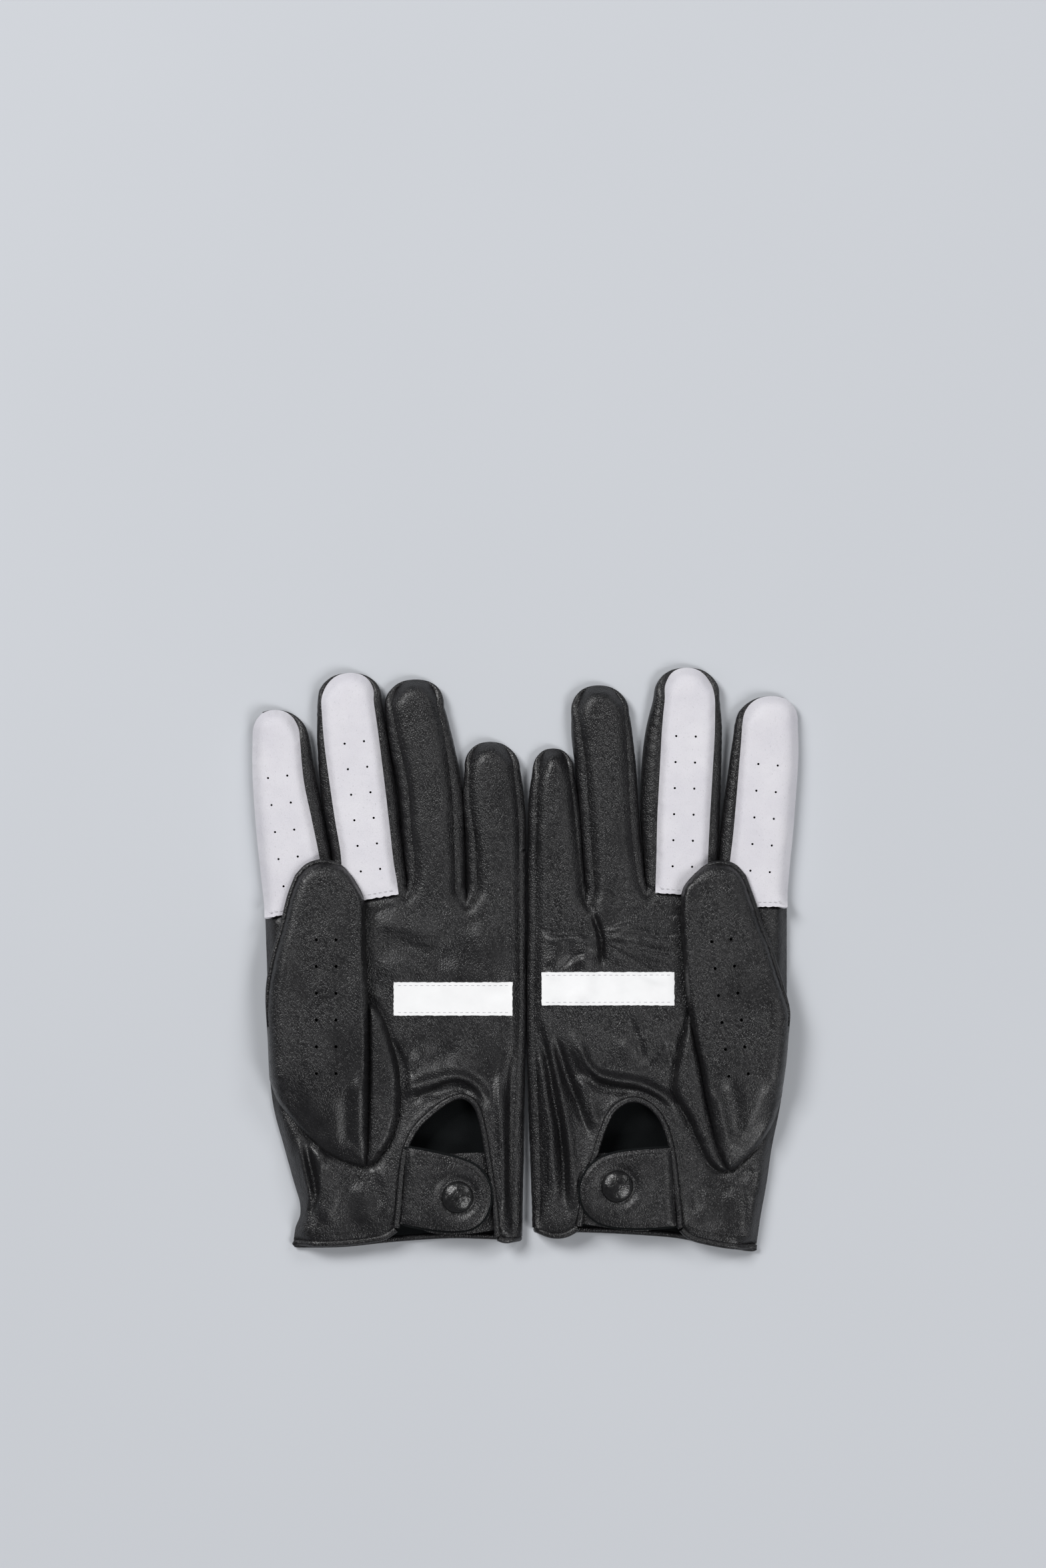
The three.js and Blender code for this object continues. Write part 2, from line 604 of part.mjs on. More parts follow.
function thumbBase(glove) {
  const sections = glove.thumb.base.map(([y, foot, fold, farFoot, top], i) => {
    const at = i === 0 ? y - HINGE_GAP / 2 : y;
    const outside = [[foot, THUMB_LOW], [fold, top], [farFoot - SHOULDER, top], [farFoot, THUMB_LOW]];
    const ceiling = top - LEATHER;
    const inside = [
      [farFoot - LEATHER, THUMB_LOW],
      [farFoot - SHOULDER - LEATHER / 2, ceiling],
      [fold + LEATHER / 2, ceiling],
      [foot + 1.6 * LEATHER, THUMB_LOW],
    ];
    return [...outside, ...inside].map(([u, z]) => [glove.sign * u, at, z]);
  });
  return loft(sections);
}

// ---- Strap and press stud ----
const snapHole = (glove) => placed(glove, circle(glove.snap, SNAP.holeR, SNAP.holeR, 16));

function strap(glove) {
  const edge = smooth(glove.strap, 26);
  return plate(placed(glove, edge), STRAP_LOW, STRAP_TOP, snapHole(glove));
}

function strapUnderlap(glove) {
  const edge = smooth(glove.underlap, 24);
  return plate(placed(glove, edge), UNDERLAP_LOW, UNDERLAP_TOP, snapHole(glove));
}

// The cap, with the post that the strap's socket is clenched on.
function snapCap(glove) {
  const low = STRAP_TOP + GAP;
  const postEnd = STRAP_LOW - GAP / 2;
  const rise = SNAP.capHeight - SNAP.capEdge;
  const dome = Array.from({ length: 6 }, (_, i) => {
    const angle = (Math.PI / 2) * (i / 6);
    return [SNAP.capR * Math.cos(angle), low + SNAP.capEdge + rise * Math.sin(angle)];
  });
  const foot = [[0, postEnd], [SNAP.postR, postEnd], [SNAP.postR, low], [SNAP.capR, low]];
  return turned([...foot, ...dome, [0, low + SNAP.capHeight]], placed(glove, [glove.snap])[0]);
}

const FLANGE_LOW = UNDERLAP_TOP + GAP;
const SOCKET_LOW = FLANGE_LOW + SNAP.flangeThickness + GAP / 2;
const SOCKET_HIGH = STRAP_LOW - GAP;

function snapSocket(glove) {
  const { socketHoleR: hole, socketR: rim } = SNAP;
  const section = [[hole, SOCKET_LOW], [rim, SOCKET_LOW], [rim, SOCKET_HIGH], [hole, SOCKET_HIGH]];
  return turned([...section, section[0]], placed(glove, [glove.snap])[0]);
}

// The stud on top of the underlap and the rivet head below it are one turned piece once they are clenched.
function snapStud(glove) {
  const rivetTop = UNDERLAP_LOW - GAP;
  const headTop = STRAP_LOW - 2 * GAP;
  const flangeTop = FLANGE_LOW + SNAP.flangeThickness;
  const profile = [
    [0, rivetTop - SNAP.flangeThickness],
    [SNAP.flangeR, rivetTop - SNAP.flangeThickness],
    [SNAP.flangeR, rivetTop],
    [SNAP.postR, rivetTop],
    [SNAP.postR, FLANGE_LOW],
    [SNAP.flangeR, FLANGE_LOW],
    [SNAP.flangeR, flangeTop],
    [SNAP.studNeckR, flangeTop],
    [SNAP.studR, (flangeTop + headTop) / 2],
    [SNAP.studNeckR, headTop],
    [0, headTop],
  ];
  return turned(profile, placed(glove, [glove.snap])[0]);
}

// ---- Assembly ----
function addMesh(group, name, solid, material) {
  const mesh = new THREE.Mesh(geometryOf(solid), material);
  mesh.name = name;
  group.add(mesh);
}

function buildGlove(glove, side) {
  const group = new THREE.Group();
  const add = (name, solid, material = BLACK_LEATHER) => addMesh(group, `${side}_${name}`, solid, material);
  add('back_panel', backPanel(glove));
  add('palm_panel', palmPanel(glove));
  add('palm_band', palmBand(glove), WHITE_COAT);
  add('index_front_base', frontBase(glove, glove.fingers.index), WHITE_SUEDE);
  add('middle_front_base', frontBase(glove, glove.fingers.middle), WHITE_SUEDE);
  for (const [from, to] of [['index', 'middle'], ['middle', 'ring'], ['ring', 'little']]) {
    add(`fourchette_${from}_${to}`, fourchette(glove, from, to));
  }
  for (const [name, finger] of Object.entries(glove.fingers)) {
    const parts = fingerParts(glove, finger);
    add(`${name}_front`, parts.front, name === 'index' || name === 'middle' ? WHITE_SUEDE : BLACK_LEATHER);
    add(`${name}_side`, parts.side);
    add(`${name}_back`, parts.back);
  }
  add('thumb_base', thumbBase(glove));
  add('thumb_sleeve', thumbSleeve(glove));
  add('vent_binding', ventBinding(glove));
  add('cuff_binding', cuffBinding(glove));
  add('wrist_elastic', wristElastic(glove), BLACK_ELASTIC);
  add('strap', strap(glove));
  add('strap_underlap', strapUnderlap(glove));
  add('snap_cap', snapCap(glove));
  add('snap_socket', snapSocket(glove), SNAP_METAL);
  add('snap_stud', snapStud(glove), SNAP_METAL);
  return group;
}

const gloves = new THREE.Group();
gloves.add(buildGlove(LEFT, 'left'), buildGlove(RIGHT, 'right'));
export default gloves;
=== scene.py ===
"""A pair of leather driving gloves lying palm up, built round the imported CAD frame.

Panels are worked out in plan, in millimetres, as [u, y]: u is the distance from the line between the two
gloves, so one description serves both hands. Outlines come from the CAD panels. A panel's height is its own
field: soft rolls at its edges, folds, creases and slow noise. Leather has its real thickness everywhere.
"""
import json
import math

import bpy
import numpy as np
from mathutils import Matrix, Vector
from mathutils.geometry import delaunay_2d_cdt


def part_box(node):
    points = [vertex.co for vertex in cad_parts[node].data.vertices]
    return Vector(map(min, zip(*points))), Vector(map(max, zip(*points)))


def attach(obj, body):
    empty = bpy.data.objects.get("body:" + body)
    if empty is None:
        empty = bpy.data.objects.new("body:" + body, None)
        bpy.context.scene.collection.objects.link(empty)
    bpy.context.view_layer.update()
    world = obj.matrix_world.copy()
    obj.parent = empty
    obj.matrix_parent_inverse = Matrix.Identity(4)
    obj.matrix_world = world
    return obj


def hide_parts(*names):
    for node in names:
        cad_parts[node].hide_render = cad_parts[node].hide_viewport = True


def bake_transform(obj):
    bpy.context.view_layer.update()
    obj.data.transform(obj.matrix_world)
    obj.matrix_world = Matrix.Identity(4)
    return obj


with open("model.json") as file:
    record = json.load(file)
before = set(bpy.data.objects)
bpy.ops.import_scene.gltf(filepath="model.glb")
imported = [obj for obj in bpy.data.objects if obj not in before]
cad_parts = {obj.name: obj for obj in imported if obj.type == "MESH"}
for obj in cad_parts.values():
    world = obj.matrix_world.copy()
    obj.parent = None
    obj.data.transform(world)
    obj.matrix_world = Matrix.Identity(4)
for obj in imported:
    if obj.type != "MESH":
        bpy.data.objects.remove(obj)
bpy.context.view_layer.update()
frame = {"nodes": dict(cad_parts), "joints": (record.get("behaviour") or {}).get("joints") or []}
NODES = frame["nodes"]
JOINTS = {j["name"]: j for j in frame["joints"]}

# ---- Driving dimensions, in millimetres ----
MM = 0.001
FULL_SPACING = 0.95
SPACING = FULL_SPACING  # between the points of a panel's mesh
EDGE_ROUNDS = int(12 * (FULL_SPACING / SPACING) ** 2)  # the same smoothing at either spacing
STROKE_REACH = 1.2  # how near to a stroke an outline's point takes the stroke's height
LEATHER = 0.9  # thickness
SEAM_Z = 6.1  # height of the seams between the fingers' fronts and their side strips
SEAM_ROLL = 1.7  # how far in from such a seam the leather rounds up to its panel's level
EDGE_Z = 1.5  # height of the fold at the glove's thumb side
EDGE_ROLL = 7.5

# Levels of the flat middles of the panels, and of some of their edges.
PALM_Z = 8.35
FRONT_Z = 8.95
THUMB_Z = 15.3
FACET_Z = 12.2
LINING_Z = 11.55
STRAP_Z = 12.6
HEM_Z = 7.6
VENT_Z = 9.3
TIP_Z = 2.6
SEWN_ON = 0.9  # how far above the palm the thumb's seam lies
STRIP_DROP = 0.35  # how far below a panel's edge its side strip starts
BINDING_REACH = 1.1  # how far the back's hem is let out to meet the cuff's binding
TUCK = 0.5  # how far the strap's root goes under the palm
UNDERSIDE_END = -26.0  # the thumb's underside stops at this y

NOISE_GRID = 64
FINGERS = ("index", "middle", "ring", "little")
WHITE_FINGERS = ("index", "middle")  # with white suede fronts of their own
DARK_FINGERS = ("ring", "little")  # with fronts in one piece with the palm
SIDES = {"left": -1, "right": 1}
SEEDS = {"left": 11, "right": 51}


# ---- Plan curves ----
def unit(v):
    return v / np.maximum(np.linalg.norm(v, axis=-1, keepdims=True), 1e-9)


def smoothstep(x):
    x = np.clip(x, 0, 1)
    return x * x * (3 - 2 * x)


def lengths(path):
    return np.concatenate([[0], np.cumsum(np.linalg.norm(np.diff(path, axis=0), axis=1))])


def resample(path, spacing=None, count=None):
    s = lengths(path)
    count = count or max(2, int(round(s[-1] / spacing)) + 1)
    at = np.linspace(0, s[-1], count)
    return np.stack([np.interp(at, s, path[:, k]) for k in range(path.shape[1])], axis=1)


def curve(points, spacing=0.5):
    """A smooth curve through the points, evenly spaced."""
    p = np.asarray(points, float)
    if len(p) == 2:
        return resample(p, spacing)
    ends = np.concatenate([[2 * p[0] - p[1]], p, [2 * p[-1] - p[-2]]])
    t = np.linspace(0, 1, 9)[:-1, None]
    out = []
    for a, b, c, d in zip(ends[:-3], ends[1:-2], ends[2:-1], ends[3:]):
        square, cube = 2 * a - 5 * b + 4 * c - d, 3 * b - a - 3 * c + d
        out.append(0.5 * (2 * b + (c - a) * t + square * t**2 + cube * t**3))
    return resample(np.concatenate(out + [p[-1:]]), spacing)


def signed_area(loop):
    x, y = loop[:, 0], loop[:, 1]
    return 0.5 * np.sum(x * np.roll(y, -1) - y * np.roll(x, -1))


def smooth_loop(loop, corner=42, spacing=None):
    """A closed outline made smooth, except where it turns by more than the corner angle, in degrees."""
    spacing = spacing or SPACING
    forward = unit(np.roll(loop, -1, 0) - loop)
    turn = np.degrees(np.arccos(np.clip((np.roll(forward, 1, 0) * forward).sum(1), -1, 1)))
    corners = np.where(turn > corner)[0]
    if len(corners) == 0:
        wrapped = np.concatenate([loop[-3:], loop, loop[:3]])
        path = curve(wrapped, 0.25)
        first = np.argmin(np.linalg.norm(path[: len(path) // 3] - loop[0], axis=1))
        last = len(path) // 2 + np.argmin(np.linalg.norm(path[len(path) // 2:] - loop[0], axis=1))
        return resample(path[first:last + 1], spacing)[:-1]
    loop = np.roll(loop, -corners[0], 0)
    corners = np.append(corners - corners[0], len(loop))
    closed = np.concatenate([loop, loop[:1]])
    sides = [curve(closed[a:b + 1], 0.25) for a, b in zip(corners, corners[1:])]
    return np.concatenate([resample(side, spacing)[:-1] for side in sides])


def rim(node, sign, top=True):
    """The outlines of a flat CAD panel as [u, y] loops, the outer one first and counterclockwise."""
    mesh = NODES[node].data
    co = np.array([v.co for v in mesh.vertices]) / MM
    level = co[:, 2].max() if top else co[:, 2].min()
    keys = [tuple(np.round(c[:2], 2)) for c in co]
    flat = np.abs(co[:, 2] - level) < 0.02
    edges = set()
    for polygon in mesh.polygons:
        ids = list(polygon.vertices)
        if flat[ids].all():
            edges.update((keys[a], keys[b]) for a, b in zip(ids, ids[1:] + ids[:1]))
    follow = {a: b for a, b in edges if (b, a) not in edges}
    loops = []
    while follow:
        start = min(follow)
        loop = [start]
        while follow.get(loop[-1]) is not None:
            step = follow.pop(loop[-1])
            if step == start:
                break
            loop.append(step)
        loops.append(np.array(loop) * [sign, 1])
    loops.sort(key=lambda loop: -abs(signed_area(loop)))
    return [loop if (signed_area(loop) > 0) == (i == 0) else loop[::-1] for i, loop in enumerate(loops)]


def opened(loop, at):
    """The loop as a path that starts after and ends before its edge nearest to a point."""
    middles = (loop + np.roll(loop, -1, 0)) / 2
    return np.roll(loop, -1 - np.argmin(np.linalg.norm(middles - at, axis=1)), 0)


def joined(base, tip, at):
    """Two outlines as one, across the gap at a joint."""
    return np.concatenate([opened(base, at), opened(tip, at)])


def inside(points, loop):
    """Which points lie inside a closed loop."""
    a, b = loop, np.roll(loop, -1, 0)
    hit = np.zeros(len(points), bool)
    for (x0, y0), (x1, y1) in zip(a, b):
        if y0 == y1:
            continue
        rows = (y0 > points[:, 1]) != (y1 > points[:, 1])
        hit ^= rows & (points[:, 0] < (x1 - x0) * (points[:, 1] - y0) / (y1 - y0) + x0)
    return hit


def nearest(points, path):
    """For each point: its distance to the path's points, and which one is nearest."""
    best = np.full(len(points), 1e9)
    which = np.zeros(len(points), int)
    for start in range(0, len(points), 2000):
        block = points[start:start + 2000]
        d = np.linalg.norm(block[:, None] - path[None], axis=2)
        which[start:start + 2000] = d.argmin(1)
        best[start:start + 2000] = d.min(1)
    return best, which


def noise(p, scale, seed, angle=0.0, stretch=1.0):
    """Smooth noise from -1 to 1. Its marks are stretch times longer along angle, in degrees."""
    grid = np.random.default_rng(seed).uniform(-1, 1, (NOISE_GRID, NOISE_GRID))
    c, s = math.cos(math.radians(angle)), math.sin(math.radians(angle))
    along = (p[:, 0] * c + p[:, 1] * s) / (scale * stretch)
    across = (p[:, 1] * c - p[:, 0] * s) / scale
    q = np.stack([along, across], 1) + 100
    i = np.floor(q).astype(int)
    f = smoothstep(q - i)
    a, b = i % NOISE_GRID, (i + 1) % NOISE_GRID
    low = grid[a[:, 0], a[:, 1]] * (1 - f[:, 0]) + grid[b[:, 0], a[:, 1]] * f[:, 0]
    high = grid[a[:, 0], b[:, 1]] * (1 - f[:, 0]) + grid[b[:, 0], b[:, 1]] * f[:, 0]
    return low * (1 - f[:, 1]) + high * f[:, 1]


# ---- Height fields ----
def fold(points, path, width, height, taper=0.25):
    """A rounded ridge, or a valley where height is negative, that fades out at both ends of its path."""
    line = curve(path, 0.6)
    d, i = nearest(points, line)
    s = i / (len(line) - 1)
    return height * np.exp(-(d / width) ** 2) * smoothstep(s / taper) * smoothstep((1 - s) / taper)


def crease(points, path, width, depth, taper=0.2):
    """A sharp valley."""
    line = curve(path, 0.6)
    d, i = nearest(points, line)
    s = i / (len(line) - 1)
    return -depth * np.exp(-d / width) * smoothstep(s / taper) * smoothstep((1 - s) / taper)


def rolled(t):
    """From 1 at an edge down to 0 one roll's width inside it, as a quarter circle."""
    t = np.clip(t, 0, 1)
    return 1 - np.sqrt(np.maximum(1 - (1 - t) ** 2, 0))


def relaxed(values, tris, rounds, free):
    """Values over a mesh after each free one moves halfway to its neighbours' mean, again and again."""
    a, b = tris.ravel(), np.roll(tris, 1, axis=1).ravel()
    count = np.bincount(a, minlength=len(values)) + np.bincount(b, minlength=len(values))
    for _ in range(rounds):
        total = np.bincount(a, values[b], len(values)) + np.bincount(b, values[a], len(values))
        values = np.where(free, 0.5 * values + 0.5 * total / np.maximum(count, 1), values)
    return values


class Panel:
    """A piece of leather in plan, with its height over every point.

    edge is the height and the roll's width at each point of the outline. extra adds relief, as a function of
    points. soften is how strongly the mesh's heights are evened out.
    """

    def __init__(self, outline, level, edge, extra=None, holes=(), soften=3):
        self.outline = outline
        self.level = level
        self.edge_z, self.edge_roll = edge
        self.extra = extra
        self.holes = list(holes)
        self.soften = soften

    def height(self, points, tris=None):
        d, i = nearest(points, self.outline)
        relief = self.extra(points) if self.extra else 0
        share = rolled(d / self.edge_roll[i])
        drop = (self.level - self.edge_z[i]) * share
        if tris is not None:
            drop = relaxed(drop, tris, 3 * self.soften, d > 0.4 * SPACING)
        return self.level - drop + relief * (1 - share)

    def mesh(self, spacing=None, lines=()):
        """Points, heights and triangles, with mesh edges along the given lines."""
        spacing = spacing or SPACING
        loops = [self.outline] + self.holes
        low, high = self.outline.min(0), self.outline.max(0)
        lattice = []
        for k, y in enumerate(np.arange(low[1], high[1], spacing * math.sqrt(3) / 2)):
            row = np.arange(low[0] + (k % 2) * spacing / 2, high[0], spacing)
            lattice.append(np.stack([row, np.full_like(row, y)], 1))
        lattice = np.concatenate(lattice)
        fixed = loops + [resample(np.asarray(line, float), spacing) for line in lines]
        clear = nearest(lattice, np.concatenate(fixed))[0] > 0.6 * spacing
        for hole in self.holes:
            clear &= ~inside(lattice, hole)
        lattice = lattice[clear & inside(lattice, self.outline)]
        points, edges = [], []
        for k, path in enumerate(fixed):
            first = sum(len(q) for q in points)
            count = len(path)
            points.append(path)
            edges += [(first + j, first + j + 1) for j in range(count - 1)]
            if k < len(loops):
                edges.append((first + count - 1, first))
        points.append(lattice)
        out = delaunay_2d_cdt([tuple(q) for q in np.concatenate(points)], edges, [], 0, 1e-4)
        xy = np.array([tuple(v) for v in out[0]])
        tris = np.array([f for f in out[2] if len(f) == 3])
        middle = xy[tris].mean(1)
        keep = inside(middle, self.outline)
        for hole in self.holes:
            keep &= ~inside(middle, hole)
        tris = tris[keep]
        area = np.cross(xy[tris[:, 1]] - xy[tris[:, 0]], xy[tris[:, 2]] - xy[tris[:, 0]])
        tris[area < 0] = tris[area < 0][:, ::-1]
        tris = tris[np.abs(area) > 1e-6]
        return xy, self.height(xy, tris), tris


# ---- Meshes ----
def vertex_normals(co, tris):
    n = np.zeros_like(co)
    face = np.cross(co[tris[:, 1]] - co[tris[:, 0]], co[tris[:, 2]] - co[tris[:, 0]])
    for k in range(3):
        np.add.at(n, tris[:, k], face)
    return unit(n)


def make_object(name, sign, co, faces, normals, materials, index=None):
    """A mesh object from [u, y, z] millimetres, faces, one normal for each face corner, and materials."""
    co = np.asarray(co) * [sign, 1, 1]
    normals = np.asarray(normals) * [sign, 1, 1]
    sizes = [len(f) for f in faces]
    if sign < 0:
        starts = np.cumsum([0] + sizes)
        normals = np.concatenate([normals[a:b][::-1] for a, b in zip(starts, starts[1:])])
        faces = [list(f)[::-1] for f in faces]
    mesh = bpy.data.meshes.new(name)
    mesh.from_pydata((co * MM).tolist(), [], [list(map(int, f)) for f in faces])
    for m in materials:
        mesh.materials.append(m)
    if index is not None:
        mesh.polygons.foreach_set("material_index", np.asarray(index, np.int32))
    mesh.polygons.foreach_set("use_smooth", np.ones(len(faces), bool))
    mesh.normals_split_custom_set([tuple(n) for n in unit(normals)])
    obj = bpy.data.objects.new(name, mesh)
    bpy.context.scene.collection.objects.link(obj)
    return obj


def shell(name, sign, co, tris, materials, thickness=LEATHER, normals=None):
    """A sheet with real thickness: its outer side is co, and the rest lies behind it.

    materials are the three for its outer side, its cut edge and its inner side.
    """
    used = np.unique(tris)
    renumber = np.full(len(co), -1)
    renumber[used] = np.arange(len(used))
    if normals is None:
        normals = vertex_normals(co, tris)
    n, outer, tris = normals[used], co[used], renumber[tris]
    count = len(outer)
    points = np.concatenate([outer, outer - n * thickness])
    directed = {(a, b) for t in tris.tolist() for a, b in ((t[0], t[1]), (t[1], t[2]), (t[2], t[0]))}
    border = sorted((a, b) for a, b in directed if (b, a) not in directed)
    back = tris[:, ::-1] + count
    faces = tris.tolist() + back.tolist() + [[b, a, a + count, b + count] for a, b in border]
    corner_normals = [n[tris].reshape(-1, 3), -n[back - count].reshape(-1, 3)]
    for a, b in border:
        out = np.cross(outer[b] - outer[a], n[a] + n[b])
        corner_normals.append(np.repeat(unit(out)[None], 4, 0))
    index = [0] * len(tris) + [2] * len(back) + [1] * len(border)
    return make_object(name, sign, points, faces, np.concatenate(corner_normals), materials, index)


def grid_tris(rows, columns):
    a = (np.arange(rows - 1)[:, None] * columns + np.arange(columns - 1)[None]).ravel()
    b, c, d = a + 1, a + columns + 1, a + columns
    return np.concatenate([np.stack([a, b, c], 1), np.stack([a, c, d], 1)])


def tube(name, sign, path, radii, materials, sides=12, up=(0, 0, 1)):
    """A rounded bead along a path of [u, y, z] points: radii are across and along up."""
    path = np.asarray(path, float)
    along = unit(np.gradient(path, axis=0))
    across = unit(np.cross(along, up))
    rise = np.cross(across, along)
    angle = np.linspace(0, 2 * math.pi, sides, endpoint=False)
    c, s = np.cos(angle)[None, :, None], np.sin(angle)[None, :, None]
    ring = path[:, None] + across[:, None] * c * radii[0] + rise[:, None] * s * radii[1]
    normal = unit(across[:, None] * c / radii[0] + rise[:, None] * s / radii[1])
    count = len(path)
    faces, corner_normals = [], []
    for k in range(count - 1):
        for j in range(sides):
            q = [(k, j), (k, (j + 1) % sides), (k + 1, (j + 1) % sides), (k + 1, j)]
            faces.append([a * sides + b for a, b in q])
            corner_normals += [normal[a, b] for a, b in q]
    for k, order, way in ((0, -1, -1), (count - 1, 1, 1)):
        faces.append([k * sides + j for j in range(sides)][::order])
        corner_normals += [along[k] * way] * sides
    if np.dot(np.cross(ring[0, 1] - ring[0, 0], ring[1, 0] - ring[0, 0]), normal[0, 0]) < 0:
        starts = np.cumsum([0] + [len(f) for f in faces])
        corner_normals = [np.array(corner_normals[a:b])[::-1] for a, b in zip(starts, starts[1:])]
        corner_normals = np.concatenate(corner_normals)
        faces = [f[::-1] for f in faces]
    return make_object(name, sign, ring.reshape(-1, 3), faces, corner_normals, materials)


# ---- Materials ----
class Nodes:
    """Short calls for building one material's nodes."""

    def __init__(self, name):
        self.material = bpy.data.materials.new(name)
        self.material.use_nodes = True
        self.tree = self.material.node_tree
        self.shader = self.tree.nodes["Principled BSDF"]
        self.place = self.add("ShaderNodeTexCoord").outputs["Object"]

    def add(self, kind, inputs=None, **settings):
        node = self.tree.nodes.new(kind)
        for key, value in settings.items():
            setattr(node, key, value)
        for key, value in (inputs or {}).items():
            if isinstance(value, bpy.types.NodeSocket):
                self.tree.links.new(value, node.inputs[key])
            else:
                node.inputs[key].default_value = value
        return node

    def mapped(self, stretch=(1, 1, 1), turn=0.0):
        """The place in millimetres, squeezed along each axis."""
        scale = tuple(s / MM for s in stretch)
        return self.add("ShaderNodeMapping", {
            "Vector": self.place, "Scale": scale, "Rotation": (0, 0, math.radians(turn))}).outputs[0]

    def noise(self, size, detail=3.0, roughness=0.55, stretch=(1, 1, 1), turn=0.0):
        place = self.mapped(stretch, turn)
        inputs = {"Vector": place, "Scale": 1 / size, "Detail": detail, "Roughness": roughness}
        return self.add("ShaderNodeTexNoise", inputs).outputs[0]

    def cells(self, size, stretch=(1, 1, 1), turn=0.0, feature="F1"):
        return self.add("ShaderNodeTexVoronoi", {
            "Vector": self.mapped(stretch, turn), "Scale": 1 / size}, feature=feature).outputs["Distance"]

    def ramp(self, value, *stops):
        node = self.add("ShaderNodeValToRGB", {"Fac": value})
        elements = node.color_ramp.elements
        while len(elements) < len(stops):
            elements.new(0.5)
        for element, (at, level) in zip(elements, stops):
            element.position = at
            element.color = (*level, 1) if isinstance(level, tuple) else (level, level, level, 1)
        return node.outputs["Color"]

    def math(self, operation, a, b):
        return self.add("ShaderNodeMath", {0: a, 1: b}, operation=operation).outputs[0]

    def bump(self, height, distance, strength=1.0, under=None):
        inputs = {"Height": height, "Distance": distance * MM, "Strength": strength}
        if under is not None:
            inputs["Normal"] = under
        return self.add("ShaderNodeBump", inputs).outputs[0]

    def finish(self, **sockets):
        for key, value in sockets.items():
            socket = self.shader.inputs[key.replace("_", " ")]
            if isinstance(value, bpy.types.NodeSocket):
                self.tree.links.new(value, socket)
            else:
                socket.default_value = value
        return self.material


def black_leather():
    """Dyed nappa: pebbles parted by fine creases, pores between them, and a slow unevenness of the finish.
    Its colour has a painted highlight on the pebbles' crowns and painted shade in the creases between them.
    """
    n = Nodes("black_leather")
    warp = n.noise(1.9, 2.0, 0.5)
    plain = n.mapped((1.0, 0.74, 1.0), 24)
    shift = n.add("ShaderNodeCombineXYZ", {"X": warp, "Y": warp, "Z": warp}).outputs[0]
    place = n.add("ShaderNodeVectorMath", {0: plain, 1: shift}, operation="ADD").outputs[0]
    inputs = {"Vector": place, "Scale": 1.7, "Randomness": 0.85, "Smoothness": 0.25}
    centre = n.add("ShaderNodeTexVoronoi", inputs, feature="SMOOTH_F1").outputs["Distance"]
    pebbles = n.ramp(centre, (0.05, 1.0), (0.35, 0.78), (0.62, 0.0))
    pores = n.noise(0.42, 2.0, 0.6)
    slow = n.noise(7.0, 3.0, 0.6, (1.0, 0.5, 1.0), 12)
    strength = n.ramp(n.noise(22.0, 2.0), (0.35, 0.40), (0.65, 1.0))
    grain = n.math("ADD", n.math("MULTIPLY", pebbles, strength), n.math("MULTIPLY", pores, 0.55))
    # The colour follows the grain's height: the lighter pebble crowns are a painted highlight and the darker
    # creases are painted shade; the pores and the slow unevenness add random tone.
    shade = n.math("ADD", n.math("MULTIPLY", grain, 0.45), n.math("MULTIPLY", slow, 0.35))
    colour = n.ramp(shade, (0.15, (0.0042, 0.0040, 0.0046)), (0.85, (0.0150, 0.0145, 0.0160)))
    return n.finish(Base_Color=colour, Roughness=n.ramp(slow, (0.3, 0.27), (0.7, 0.40)),
                    Normal=n.bump(grain, 0.125, 1.0, n.bump(slow, 0.6, 0.6)), Specular_IOR_Level=0.5)


def polished_leather():
    """The snap's cap: the same leather stretched smooth, so its grain is faint and its finish glossier."""
    n = Nodes("polished_leather")
    soft = n.noise(1.6, 3.0, 0.55)
    pores = n.noise(0.4, 2.0, 0.6)
    colour = n.ramp(soft, (0.3, (0.004, 0.004, 0.0045)), (0.7, (0.009, 0.0088, 0.0095)))
    return n.finish(Base_Color=colour, Roughness=n.ramp(soft, (0.3, 0.20), (0.7, 0.32)),
                    Normal=n.bump(pores, 0.04, 0.8, n.bump(soft, 0.35, 0.8)), Specular_IOR_Level=0.6)


def black_suede():
    """The leather's flesh side: a short nap with slow patches."""
    n = Nodes("black_suede")
    nap = n.noise(0.35, 4.0, 0.7)
    patches = n.noise(14.0, 2.0)
    colour = n.ramp(n.math("ADD", n.math("MULTIPLY", nap, 0.4), n.math("MULTIPLY", patches, 0.6)),
                    (0.35, (0.0025, 0.003, 0.0035)), (0.65, (0.007, 0.0085, 0.009)))
    return n.finish(Base_Color=colour, Roughness=0.95, Normal=n.bump(nap, 0.15, 0.8), Specular_IOR_Level=0.15)


def white_suede():
    """Off-white suede: a short nap, faint grey flecks and slow lighter and darker blotches placed at random.
    """
    n = Nodes("white_suede")
    nap = n.noise(0.45, 5.0, 0.75)
    flecks = n.ramp(n.noise(0.5, 3.0, 0.6, (1, 0.55, 1), 30), (0.26, 0.80), (0.40, 1.0))
    blotches = n.ramp(n.noise(16.0, 3.0), (0.3, (0.70, 0.685, 0.735)), (0.7, (0.775, 0.76, 0.80)))
    mixed = n.add("ShaderNodeMix", {"Factor": 1.0}, data_type="RGBA", blend_type="MULTIPLY")
    for colour_input, value in ((6, blotches), (7, flecks)):
        n.tree.links.new(value, mixed.inputs[colour_input])
    return n.finish(Base_Color=mixed.outputs[2], Roughness=0.96, Normal=n.bump(nap, 0.22, 0.9),
                    Specular_IOR_Level=0.15, Sheen_Weight=0.12, Sheen_Roughness=0.5)


